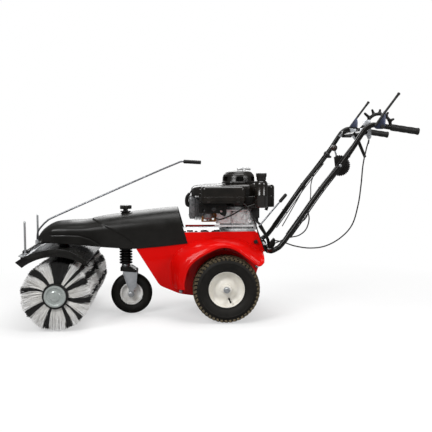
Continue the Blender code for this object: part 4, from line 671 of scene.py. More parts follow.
def build_body():
    bolts = [(-0.1456, 0.3151), (-0.221, 0.1393), (0.160, 0.2621)]
    for side, suffix in ((-1, "left"), (1, "right")):
        wall = plate(f"side_wall_{suffix}", rounded(SIDE_PLATE, 0.018), -HALF_BODY,
                     -HALF_BODY + SHEET, edge=0.0008)
        hole = bar("inspection_hole", 0.0055, -0.2, -0.1, (0.0, 0, 0.349), (0, 1, 0))
        tube_hole = bar("axle_hole", 0.0286, -0.2, -0.1, (0, 0, AXLE_Z), (0, 1, 0))
        cut(wall, hole, tube_hole)
        fender = laid(f"fender_{suffix}", 110, 34, fender_skin(), wall=0.0025, offset=1.0)
        flange = tube(f"wall_edge_{suffix}", in_plane([(0.196, 0.334), (0.178, 0.386),
                                                       (0.160, 0.436)], -HALF_BODY + 0.0015),
                                                       0.0022)
        body = joined([wall, fender, flange])
        if side > 0:
            other = mirrored(body, body.name)
            bpy.data.objects.remove(body)
            body = other
        body.name = f"red_side_{suffix}"
        fit(body, RED, "chassis", "red_paint", f"body_side_{suffix}", angle=42)
        heads = []
        for number, (x, z) in enumerate(bolts):
            y = side * (HALF_BODY + CLEARANCE)
            heads.append(turned(f"bolt_{number}", [(0, 0), (0.0095, 0), (0.0095, 0.002),
                                                   (0.0075, 0.0045), (0.004, 0.0062), (0, 0.0066)],
                                (x, y, z), (0, side, 0), 24))
        fit(joined(heads), ZINC, "chassis", "zinc").name = f"wing_bolts_{suffix}"
        knob = turned(f"cover_knob_{suffix}", [(0, 0), (0.009, 0), (0.010, 0.003), (0.010, 0.010),
                                               (0.008, 0.0125), (0, 0.013)],
                      (0.152, side * (HALF_BODY + CLEARANCE), 0.385), (0, side, 0), 28)
        fit(knob, COVER, "chassis", "black_plastic")

    slots = [block(f"deck_slot_{k}", -0.10 + 0.11 * k, -0.085 + 0.11 * k, -0.128, -0.118, 0.42,
                   0.45) for k in range(3)]
    deck = block("deck_sheet", -0.215, 0.152, -0.1387, 0.1387, 0.432, 0.435, 0.0006)
    cut(deck, *slots)
    lip = block("deck_lip", -0.215, -0.212, -0.1387, 0.1387, 0.426, 0.4325, 0.0006)
    fit(joined([deck, lip]), ZINC, "chassis", "zinc", "deck_plate")
    rim = block("far_lip", -0.195, 0.150, 0.1388, 0.1418, 0.4345, 0.4440, 0.0008)
    fit(rim, RED, "chassis", "red_paint")
    heads = []
    for k in range(6):
        heads.append(turned("deck_bolt", [(0, 0.4351), (0.0070, 0.4351), (0.0070, 0.4400),
                                          (0, 0.4405)], (-0.200 + 0.028 * k, -0.128, 0), steps=6))
    for x in (-0.190, -0.120, -0.055):
        heads.append(block("deck_clip", x, x + 0.030, -0.118, -0.100, 0.4351, 0.4420, 0.001))
    fit(joined(heads), STEEL, "chassis", "dark_steel", angle=25)


build_body()


# ------------------------------------------------------------ wheels
def tread_lugs(name, radius, half, rows, count, size, height):
    """Turf tread: one block with rounded edges, copied round the tyre in staggered rows."""
    along, across = size
    lug = block(name, -along / 2, along / 2, -across / 2, across / 2, -0.004, height, 0.0012, 1)
    lugs = []
    for row in range(rows):
        y = (row - (rows - 1) / 2) * 2 * half / (rows - 1)
        drop = 0.0045 * (abs(y) / half) ** 2
        lean = -math.copysign(0.42, y) * (abs(y) / half) ** 2
        for k in range(count):
            turn = 2 * math.pi * (k + 0.5 * (row % 2)) / count
            spot = (Matrix.Rotation(turn, 4, "Y") @ Matrix.Translation((0, y, radius - drop))
                    @ Matrix.Rotation(lean, 4, "X"))
            lugs.append(copied(lug, spot))
    bpy.data.objects.remove(lug)
    return joined(lugs)


def build_wheel(side, suffix):
    body = f"wheel_{suffix}"
    centre = Vector((0, side * HALF_TRACK, AXLE_Z))
    section = [(0.0883, 0.043), (0.0925, 0.0485), (0.097, 0.0500), (0.099, 0.0525), (0.108, 0.0575),
               (0.122, 0.0612), (0.1285, 0.0618), (0.1305, 0.0635), (0.1335, 0.0635),
               (0.1350, 0.0612), (0.145, 0.0575), (0.152, 0.051), (0.1565, 0.041), (0.1592, 0.025),
               (0.1600, 0.008)]
    profile = section + [(r, -y) for r, y in reversed(section)] + [section[0]]
    tyre = turned(f"tyre_{suffix}", profile, centre, (0, side, 0), 96)
    lugs = tread_lugs(f"tread_{suffix}", 0.1592, 0.044, 5, 46, (0.0125, 0.0155), 0.0058)
    lugs.data.transform(Matrix.Translation(centre))
    shoulder = []
    for face in (-1, 1):
        lug = block("shoulder_lug", -0.0062, 0.0062, -0.0022, 0.0030, -0.0125, 0.0110, 0.0010, 1)
        for k in range(46):
            turn = 2 * math.pi * (k + 0.25) / 46
            spot = (Matrix.Rotation(turn, 4, "Y") @ Matrix.Translation((0, face * 0.0555, 0.1465))
                    @ Matrix.Rotation(face * -0.42, 4, "X"))
            shoulder.append(copied(lug, spot))
        bpy.data.objects.remove(lug)
    shoulder = joined(shoulder)
    shoulder.data.transform(Matrix.Translation(centre))
    fit(tyre, RUBBER, body, "tyre_rubber", f"wheel_tyre_{suffix}", angle=30)
    # the lugs carry the pale brown patches of painted highlight
    fit(joined([lugs, shoulder]), PAINTED_GLINT_TREAD, body, "tyre_rubber", angle=30)

    rim = turned(f"rim_{suffix}", [
        (0.008, -0.0496), (0.021, -0.0496), (0.021, 0.008), (0.052, 0.004), (0.060, 0.006),
        (0.080, 0.014), (0.0845, 0.012), (0.0845, -0.0446), (0.088, -0.0446), (0.088, 0.0446),
        (0.0868, 0.0462), (0.0845, 0.0446), (0.083, 0.030), (0.078, 0.0225), (0.066, 0.0165),
        (0.058, 0.0125), (0.049, 0.0145), (0.040, 0.0205), (0.033, 0.0225), (0.027, 0.0235),
        (0.0245, 0.0300), (0.0235, 0.0480), (0.0215, 0.0496), (0.008, 0.0496), (0.008, -0.0496)],
        centre, (0, side, 0), 96)
    fit(rim, CREAM, body, "cream_paint", f"wheel_rim_{suffix}", angle=45)
    axle = bar(f"axle_{suffix}", 0.010, -0.211, 0.062, centre, (0, side, 0), 0.001)
    washer = bar(f"hub_washer_{suffix}", 0.0155, 0.0500, 0.0525, centre, (0, side, 0), 0.0004)
    pin = tube(f"split_pin_{suffix}", [(-0.019, side * 0.0565, -0.008),
                                       (-0.006, side * 0.0575, -0.002),
                                       (0.008, side * 0.0575, 0.002),
                                       (0.018, side * 0.0565, 0.002)],
               0.0017, 0.002, 3)
    pin.data.transform(Matrix.Translation(centre))
    nut = turned(f"castle_nut_{suffix}", [(0, 0.0524), (0.0135, 0.0524), (0.0135, 0.0570),
                                          (0.0112, 0.0585), (0.0112, 0.0615), (0, 0.0618)], centre,
                 (0, side, 0), 6)
    fit(joined([axle, washer, nut, pin]), ZINC, body, "zinc", angle=25)
    valve = turned(f"valve_{suffix}", [(0, -0.012), (0.0048, -0.012), (0.0048, 0.004),
                                       (0.0036, 0.006),
                                       (0.0036, 0.020), (0.0043, 0.021), (0.0043, 0.031),
                                       (0, 0.032)],
                   (0, 0, 0), (0.15, side * 0.9, -0.35), 20)
    valve.data.transform(Matrix.Translation(centre + Vector((0.0135, side * 0.021, -0.050))))
    fit(valve, SOFT_RUBBER, body, "grip_rubber")


build_wheel(-1, "left")
build_wheel(1, "right")


# ------------------------------------------------------------ caster
def build_caster():
    centre = Vector((CASTER_X + 0.028, 0, 0.106))
    section = [(0.0583, 0.0215), (0.062, 0.0245), (0.0645, 0.0248), (0.0655, 0.0262),
               (0.074, 0.0298),
               (0.083, 0.0310), (0.092, 0.0288), (0.0985, 0.0238), (0.1035, 0.0160),
               (0.1056, 0.0075), (0.1060, 0.0070), (0.1060, 0.0052), (0.1042, 0.0046),
               (0.1042, 0.0034), (0.1060, 0.0028), (0.1060, 0.0010)]
    profile = section + [(r, -y) for r, y in reversed(section)] + [section[0]]
    tyre = turned("caster_tyre_round", profile, centre, (0, 1, 0), 96)
    fit(tyre, RUBBER, "caster", "tyre_rubber", "caster_tyre", angle=40)
    rim = turned("caster_rim_round", [
        (0.0084, -0.035), (0.0175, -0.035), (0.0185, -0.031), (0.0195, -0.0125), (0.030, -0.0095),
        (0.044, -0.0085), (0.0495, -0.0120), (0.0515, -0.0225), (0.058, -0.0225),
        (0.058, 0.0225), (0.0515, 0.0225), (0.0495, 0.0120), (0.044, 0.0085), (0.030, 0.0095),
        (0.0195, 0.0125), (0.0185, 0.031), (0.0175, 0.035), (0.0084, 0.035), (0.0084, -0.035)],
        centre, (0, 1, 0), 72)
    ribs = []
    for side in (-1, 1):
        rib = plate("hub_rib", [(0.018, 0), (0.0435, 0), (0.0425, 0.0018), (0.021, 0.0115),
                                (0.018, 0.0125)], -0.0019, 0.0019, "XY", 0.0004, 1)
        rib.data.transform(Matrix.Rotation(math.radians(90), 4, "X"))
        for k in range(10):
            spin = Matrix.Rotation(2 * math.pi * k / 10, 4, "Y")
            face = Matrix.Translation((0, side * 0.0085, 0))
            upright = Matrix.Rotation(math.radians(90 if side > 0 else -90), 4, "X")
            ribs.append(copied(rib, Matrix.Translation(centre) @ face @ spin @ upright))
        bpy.data.objects.remove(rib)
    fit(joined([rim, *ribs]), WHITE_RIM, "caster", "cream_paint", "caster_rim", angle=40)

    leg = rounded([(CASTER_X - 0.014, 0.234), (CASTER_X + 0.052, 0.234), (CASTER_X + 0.061, 0.226),
                   (centre.x + 0.025, 0.142), (centre.x + 0.013, 0.130), (centre.x + 0.012, 0.106),
                   (centre.x, 0.0945), (centre.x - 0.012, 0.106), (centre.x - 0.013, 0.130),
                   (centre.x - 0.016, 0.142), (CASTER_X - 0.012, 0.215)], 0.004)
    legs = []
    for side in (-1, 1):
        low, high = sorted((side * 0.0382, side * 0.0418))
        legs.append(plate(f"fork_leg_{side}", leg, low, high, edge=0.0006))
        for tilt, x0, x1 in ((1, CASTER_X + 0.057, centre.x + 0.0235),
                             (-1, CASTER_X - 0.012, centre.x - 0.0150)):
            outer = side * 0.0475
            flange = [(x0, 0.219), (x0 + tilt * 0.003, 0.219), (x1 + tilt * 0.003, 0.143),
                      (x1, 0.143)]
            lo, hi = sorted((side * 0.0385, outer))
            legs.append(plate("fork_flange", flange, lo, hi, edge=0.0006))
    fit(joined(legs), PALE_ZINC, "swivel", "zinc", "caster_fork")
    crown = [(CASTER_X - 0.026, 0.2468), (CASTER_X + 0.030, 0.2468), (CASTER_X + 0.060, 0.226),
             (CASTER_X + 0.055, 0.219), (CASTER_X - 0.026, 0.226)]
    crown = plate("fork_crown", rounded(crown, 0.004), -0.046, 0.046, edge=0.0015)
    throat = block("throat", CASTER_X - 0.1, CASTER_X + 0.1, -0.037, 0.037, 0.1, 0.2302)
    cut(crown, throat)
    cup = turned("crown_cup", [(0, 0.2466), (0.020, 0.2466), (0.020, 0.2471), (0, 0.2471)],
                 (CASTER_X, 0, 0), steps=48)
    fit(joined([crown, cup]), TUBE_BLACK, "swivel", "black_paint")
    axle = bar("caster_axle", 0.0079, -0.0465, 0.0465, centre, (0, 1, 0), 0.001)
    nuts = []
    for side in (-1, 1):
        nut = turned("caster_nut", [(0, 0.0420), (0.0125, 0.0420), (0.0125, 0.0495),
                                    (0.0105, 0.0505),
                                    (0, 0.0505)], centre, (0, side, 0), 6)
        nuts.append(nut)
        nuts.append(bar("caster_washer", 0.016, 0.0419, 0.0432, centre, (0, side, 0), 0.0003))
    fit(joined([axle, *nuts]), ZINC, "swivel", "zinc", angle=25)

    stem = turned("stem_collar", [(0, 0.2474), (0.0215, 0.2474), (0.0215, 0.2560), (0.0200, 0.2582),
                                  (0.0135, 0.2582), (0.0135, 0.465), (0, 0.465)],
                  (CASTER_X, 0, 0), steps=40)
    fit(stem, ZINC, "lift", "zinc", "caster_stem")
    ribs = [(0.0152, 0.2586), (0.0215, 0.2586)]
    pitch = (0.3431 - 0.2586) / 6
    full = 0.0332
    for k in range(6):
        base = 0.2586 + k * pitch
        ribs += [(0.0222, base + pitch * 0.05), (full - 0.0010, base + pitch * 0.20),
                 (full, base + pitch * 0.32), (full, base + pitch * 0.58),
                 (full - 0.0010, base + pitch * 0.70), (0.0222, base + pitch * 0.92)]
    ribs += [(0.0215, 0.3431), (0.0152, 0.3431), (0.0152, 0.2586)]
    boot = turned("rubber_boot", ribs, (CASTER_X, 0, 0), steps=64)
    fit(boot, SOFT_RUBBER, "chassis", "belt_rubber", "bellows", angle=50)
    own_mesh(boot)

    lobes = []
    for k in range(120):
        turn = 2 * math.pi * k / 120
        radius = 0.0315 * (0.87 + 0.13 * math.cos(5 * turn))
        lobes.append((CASTER_X + radius * math.cos(turn), radius * math.sin(turn)))
    knob = plate("star_knob", lobes, 0.541, 0.561, "XY", 0.0045, 3)
    cap = turned("knob_boss", [(0, 0.5323), (0.0125, 0.5323), (0.0125, 0.537), (0.0105, 0.5415),
                               (0.0105, 0.552), (0, 0.552)], (CASTER_X, 0, 0), steps=40)
    thread = bar("height_spindle", 0.0058, 0.300, 0.540, (CASTER_X, 0, 0))
    fit(joined([knob, cap, thread]), COVER, "knob", "black_plastic", "height_knob", angle=45)
    collar = turned("spindle_housing", [
        (0.0160, 0.3436), (0.0199, 0.3436), (0.0199, 0.385), (0.033, 0.385), (0.033, 0.3895),
        (0.0199, 0.3895), (0.0199, 0.525), (0.0255, 0.5262), (0.0262, 0.5285), (0.0255, 0.5318),
        (0.0066, 0.5318), (0.0066, 0.508), (0.0160, 0.508), (0.0160, 0.3436)],
        (CASTER_X, 0, 0), steps=48)
    fit(collar, TUBE_BLACK, "chassis", "black_paint", "caster_housing")


build_caster()


# ------------------------------------------------------------ brush
BLACK_TUFTS = [(29, 27, 12), (48, 46, 8), (80, 82, 34), (120, 133, 13), (158, 171, 8),
               (209, 212, 13), (250, 254, 10), (302, 293, 11), (323, 317, 9), (344, 354, 12)]
STRANDS_A_DEGREE = 22
STRAND_SIDES = 3
STRAND_RINGS = 4
BRUSH_INNER = 0.052
BRUSH_NEAR = 0.046
BRUSH_FAR = 0.392


def fan_angle(fan, share, across):
    """Angle inside a fan: share runs from the root out to the tips, across from -1 to 1."""
    root, tip, root_width, tip_width = fan
    bend = share ** 1.4
    return root + (tip - root) * bend + across * (root_width + (tip_width - root_width) * bend) / 2


def wedge_core(name, fan, low, high, reach):
    """The dense inside of one fan of bristles: a grid laid round it, ragged at the tips."""
    chance = random.Random(name)
    jag = [chance.uniform(-0.010, 0.0) for _ in range(61)]

    def place(u, v):
        y = low + (high - low) * u
        loop = 2 * math.pi * v
        rise = 0.5 - 0.5 * math.sin(loop)
        radius = BRUSH_INNER - 0.002 + (reach + jag[round(60 * u)] - BRUSH_INNER) * rise
        angle = fan_angle(fan, rise, 0.94 * math.cos(loop))
        return Vector((radius * math.cos(angle), y, radius * math.sin(angle)))

    piece = laid(name, 60, 12, place)
    return close_up(piece, 1e-5)


def strand_fan(fan, rows, count, chance, reach, thick=0.0012):
    """Loose strands of one fan, three-sided, each with its own lean and length."""
    points = []
    for low, high, part in rows:
        for _ in range(round(count * part)):
            y = chance.uniform(low, high)
            across = chance.uniform(-1, 1)
            radius = reach * chance.uniform(0.945, 1.0)
            drift = chance.gauss(0, 0.004)
            lean = chance.gauss(0, 0.030)
            curl = chance.gauss(0, 0.018)
            wide = thick * chance.uniform(0.75, 1.2)
            for k in range(STRAND_RINGS):
                share = k / (STRAND_RINGS - 1)
                r = BRUSH_INNER - 0.003 + (radius - BRUSH_INNER + 0.003) * share
                angle = (fan_angle(fan, share, across) + lean * share
                         + curl * math.sin(3.1 * share))
                here = wide * (1 - 0.30 * share)
                middle = Vector((r * math.cos(angle), y + drift * share, r * math.sin(angle)))
                aside = Vector((-math.sin(angle), 0, math.cos(angle)))
                for q in range(STRAND_SIDES):
                    a = 2 * math.pi * q / STRAND_SIDES + 0.5
                    points.append(middle + aside * here * math.cos(a)
                                  + Vector((0, here * math.sin(a), 0)))
    return points


def strands_piece(name, points):
    """A comb's strands: one is modelled, an array repeats it, and each takes its own points."""
    deselect()
    bpy.ops.mesh.primitive_cylinder_add(vertices=STRAND_SIDES, radius=1.0,
                                        depth=STRAND_RINGS - 1)
    piece = bpy.context.object
    piece.name = name
    bottom = -(STRAND_RINGS - 1) / 2
    bpy.ops.object.mode_set(mode="EDIT")
    for ring in range(1, STRAND_RINGS - 1):
        bpy.ops.mesh.select_all(action="SELECT")
        bpy.ops.mesh.bisect(plane_co=(0, 0, bottom + ring), plane_no=(0, 0, 1))
    bpy.ops.object.mode_set(mode="OBJECT")
    places = []
    for vert in piece.data.vertices:
        turn = math.degrees(math.atan2(vert.co.y, vert.co.x)) - 90
        corner = round(turn * STRAND_SIDES / 360) % STRAND_SIDES
        places.append(STRAND_SIDES * round(vert.co.z - bottom) + corner)
    size = STRAND_SIDES * STRAND_RINGS
    if sorted(places) != list(range(size)):
        raise RuntimeError(f"{name}: the strand doesn't have its {size} points")
    apply(piece, "ARRAY", count=len(points) // size, use_relative_offset=False,
          use_constant_offset=True, constant_offset_displace=(3.0, 0.0, 0.0))
    for index, vert in enumerate(piece.data.vertices):
        strand, corner = divmod(index, size)
        vert.co = points[strand * size + places[corner]]
    return piece


def brush_fans():
    """Black tufts as the photo shows them, and the white fans that fill the room between them."""
    black = [tuple(math.radians(angle) for angle in (root, tip, width * 0.92, width * 1.08))
             for root, tip, width in BLACK_TUFTS]
    white = []
    for here, after in zip(black, black[1:] + black[:1]):
        gaps = []
        for place, width in ((0, 2), (1, 3)):
            start = here[place] + here[width] / 2
            stop = after[place] - after[width] / 2
            if after is black[0]:
                stop += 2 * math.pi
            gaps.append(((start + stop) / 2, stop - start))
        (root, root_width), (tip, tip_width) = gaps
        parts = max(1, round(math.degrees(root_width) / 17))
        for k in range(parts):
            shift = (k + 0.5) / parts - 0.5
            white.append((root + root_width * shift, tip + tip_width * shift,
                          root_width / parts, tip_width / parts * 0.90))
    return {"black": black, "white": white}


def build_brush():
    near, far = BRUSH_NEAR + 0.002, BRUSH_FAR - 0.012
    rows = [(far - 0.028, far, 0.42), (near, near + 0.02, 0.16), (near, far, 0.42)]
    for side, suffix in ((-1, "left"), (1, "right")):
        for colour, layout in brush_fans().items():
            chance = random.Random(f"{colour} {suffix}")
            points = []
            cores = []
            for number, fan in enumerate(layout):
                reach = 0.1670 + chance.uniform(-0.009, 0.0)
                count = round(STRANDS_A_DEGREE * math.degrees(fan[3]))
                cores.append(wedge_core(f"core_{colour}_{suffix}_{number}", fan, near + 0.008,
                                        far - 0.010, reach * 0.93))
                points += strand_fan(fan, rows, count, chance, reach)
            strands = strands_piece(f"strands_{colour}_{suffix}", points)
            comb = joined([strands, *cores])
            comb.name = f"comb_{colour}_{suffix}"
            if side < 0:
                comb.data.transform(Matrix.Scale(-1, 4, (0, 1, 0)))
            comb.data.transform(Matrix.Translation(BRUSH))
            close_up(comb, 1e-6)
            fit(comb, BLACK_BRISTLE if colour == "black" else WHITE_BRISTLE, "brush",
                f"{colour}_bristle", f"bristles_{colour}_{suffix}", angle=50)

    for side, suffix in ((-1, "left"), (1, "right")):
        cap = turned(f"end_cap_{suffix}", [
            (0, 0.392), (0.030, 0.392), (0.0505, 0.392), (0.0505, 0.3965), (0.0490, 0.3990),
            (0.0460, 0.3998), (0.0415, 0.3998), (0.0395, 0.3985), (0.0375, 0.3955),
            (0.0345, 0.3945), (0.0260, 0.3945), (0.0235, 0.3965), (0.0200, 0.3975),
            (0.0120, 0.3978), (0, 0.3978)], BRUSH, (0, side, 0), 64)
        bolt = turned("cap_bolt", [(0, 0.3975), (0.0072, 0.3975), (0.0072, 0.3992), (0, 0.3998)],
                      BRUSH, (0, side, 0), 6)
        fit(joined([cap, bolt]), GREY_CAP, "brush", "zinc")
        ring = turned(f"comb_ring_{suffix}", [
            (0.0512, 0.376), (0.0600, 0.376), (0.0610, 0.384), (0.0590, 0.392), (0.0512, 0.3925),
            (0.0512, 0.376)], BRUSH, (0, side, 0), 64)
        fit(ring, SOFT_RUBBER, "brush", "black_bristle")
        core = turned(f"backing_tube_{suffix}",
                      [(0.0152, 0.0445), (0.0515, 0.0445), (0.0515, 0.390),
                                                 (0.0152, 0.390), (0.0152, 0.0445)],
                      BRUSH, (0, side, 0), 48)
        fit(core, SOFT_RUBBER, "brush", "black_bristle")
    shaft = bar("brush_shaft_bar", 0.015, -0.390, 0.390, BRUSH, (0, 1, 0))
    fit(shaft, STEEL, "brush", "zinc", "brush_shaft")


build_brush()


# ------------------------------------------------------------ brush guard, rail and swivel rod
GUARD = (-0.795, 0.108)


def build_guard():
    half = 0.4097
    outer = 0.2503
    sheet = [*arc(GUARD, outer, 57, 127, 28), *arc(GUARD, outer - 0.0025, 127, 57, 28)]
    skin = plate("guard_sheet", sheet, -half + 0.001, half - 0.001)
    neck = bar("neck_hole", 0.0262, 0.3, 0.4, (-0.820, 0, 0))
    cut(skin, neck)
    ends = []
    for side in (-1, 1):
        crest = []
        for k in range(29):
            turn = 51.8 + 77.0 * k / 28
            reach = 0.2500 + 0.0300 * min(1.0, k / 9) ** 0.7 + 0.0045 * max(0.0, (k - 20) / 8)
            crest.append((GUARD[0] + reach * math.cos(math.radians(turn)),
                          GUARD[1] + reach * math.sin(math.radians(turn))))
        flange = [*crest, *arc(GUARD, 0.2462, 127, 57, 28)]
        low, high = sorted((side * (half - 0.0028), side * half))
        ends.append(plate("guard_end", flange, low, high, edge=0.0010))
    front = tube("guard_front_roll", [(GUARD[0] + 0.2488 * math.cos(math.radians(127)), y,
                                       GUARD[1] + 0.2488 * math.sin(math.radians(127)))
                                      for y in (-0.405, 0.0, 0.405)], 0.0026, 0.1)
    rear = tube("guard_rear_roll", [(GUARD[0] + 0.2488 * math.cos(math.radians(57)), y,
                                     GUARD[1] + 0.2488 * math.sin(math.radians(57)))
                                    for y in (-0.405, 0.0, 0.405)], 0.0026, 0.1)
    fit(joined([skin, *ends, front, rear]), TUBE_BLACK, "head", "black_paint", "brush_guard",
        angle=40)

    low, top = 0.3531, 0.3579
    front_x, rear_x = -0.9618, -0.9222
    foot = GUARD[1] + math.sqrt(0.2505 ** 2 - (rear_x - GUARD[0]) ** 2) + CLEARANCE
    section = [(front_x, low), (rear_x - 0.0048, low), (rear_x - 0.0048, foot), (rear_x, foot),
               (rear_x, top), (front_x, top)]
    rail = plate("toothed_rail", section, -0.3898, 0.3898, edge=0.0007)
    notches = []
    for y in (-0.344, -0.318, 0.318, 0.344):
        notches.append(block("rail_notch", -0.975, -0.9545, y - 0.004, y + 0.004, 0.34, 0.37))
    cut(rail, *notches)
    pieces = [rail]
    for x, y in ((-0.936, -0.360), (-0.955, 0.026)):
        pieces.append(turned("rail_pin", [(0, low), (0.0049, low), (0.0049, 0.506),
                                          (0.0040, 0.5115),
                                          (0.0022, 0.5138), (0, 0.5139)], (x, y, 0), steps=24))
        pieces.append(bar("pin_collar", 0.0080, 0.3579, 0.3655, (x, y, 0)))
    for side in (-1, 1):
        ear = rounded([(-0.9618, 0.354), (-0.938, 0.354), (-0.943, 0.3858), (-0.9618, 0.3858)],
                      0.005)
        lo, hi = sorted((side * 0.0048, side * 0.0078))
        pieces.append(plate("rod_ear", ear, lo, hi, edge=0.0006))
    fit(joined(pieces), ZINC, "head", "zinc", "attachment_rail", angle=32)
    clamps = [block("rail_clamp", -0.958, -0.930, y - 0.024, y + 0.024, 0.3582, 0.3720, 0.003)
              for y in (-0.300, 0.085)]
    clamps.append(bar("latch_rod", 0.0048, -0.330, 0.110, (-0.944, 0, 0.3665), (0, 1, 0)))
    fit(joined(clamps), TUBE_BLACK, "head", "black_paint")
    foot_plate = plate("rail_bracket", rounded([(-0.9525, 0.3525), (-0.9275, 0.3525),
                                                (-0.9335, 0.322),
                                                (-0.9465, 0.318)], 0.004), -0.3940, -0.3905,
                       edge=0.0006)
    fit(foot_plate, TUBE_BLACK, "head", "black_paint")

    rod_points = [(-0.952, 0.3625), (-0.953, 0.394), (-0.949, 0.425), (-0.933, 0.450),
                  (-0.902, 0.481), (-0.861, 0.504), (-0.632, 0.605), (-0.376, 0.717),
                  (-0.243, 0.773), (-0.207, 0.7835), (-0.119, 0.779)]
    rod = tube("swivel_bar", in_plane(rod_points, 0), 0.0045, 0.006, 5)
    fit(rod, ROD_STEEL, "head", "zinc", "swivel_rod")
    start, end = Vector((-0.205, 0, 0.7833)), Vector((-0.115, 0, 0.7785))
    length = (end - start).length
    profile = [(0, 0), (0.0075, 0), (0.0085, 0.0015)]
    for k in range(8):
        base = 0.006 + k * (length - 0.014) / 8
        profile += [(0.0098, base), (0.0098, base + 0.0058), (0.0089, base + 0.0068),
                    (0.0089, base + 0.0088)]
    profile += [(0.0100, length - 0.007), (0.0098, length - 0.002), (0.006, length), (0, length)]
    grip = turned("rod_grip", profile, start, end - start, 32)
    fit(grip, SOFT_RUBBER, "head", "grip_rubber", "swivel_grip")


build_guard()


# ------------------------------------------------------------ engine
CRANK_AT = (0.078, 0.0, 0.0)
TANK_CAP = (0.178, -0.151, 0.0)
DECK_TOP = 0.435


def fins(name, x0, x1, y_half, z0, z1, count, thick):
    """Thin cast fins, one shape copied at an even pitch."""
    first = block(name, x0, x0 + thick, -y_half, y_half, z0, z1, 0.0006, 1)
    pitch = (x1 - x0 - thick) / (count - 1)
    return [first, *[copied(first, Matrix.Translation((k * pitch, 0, 0))) for k in range(1, count)]]


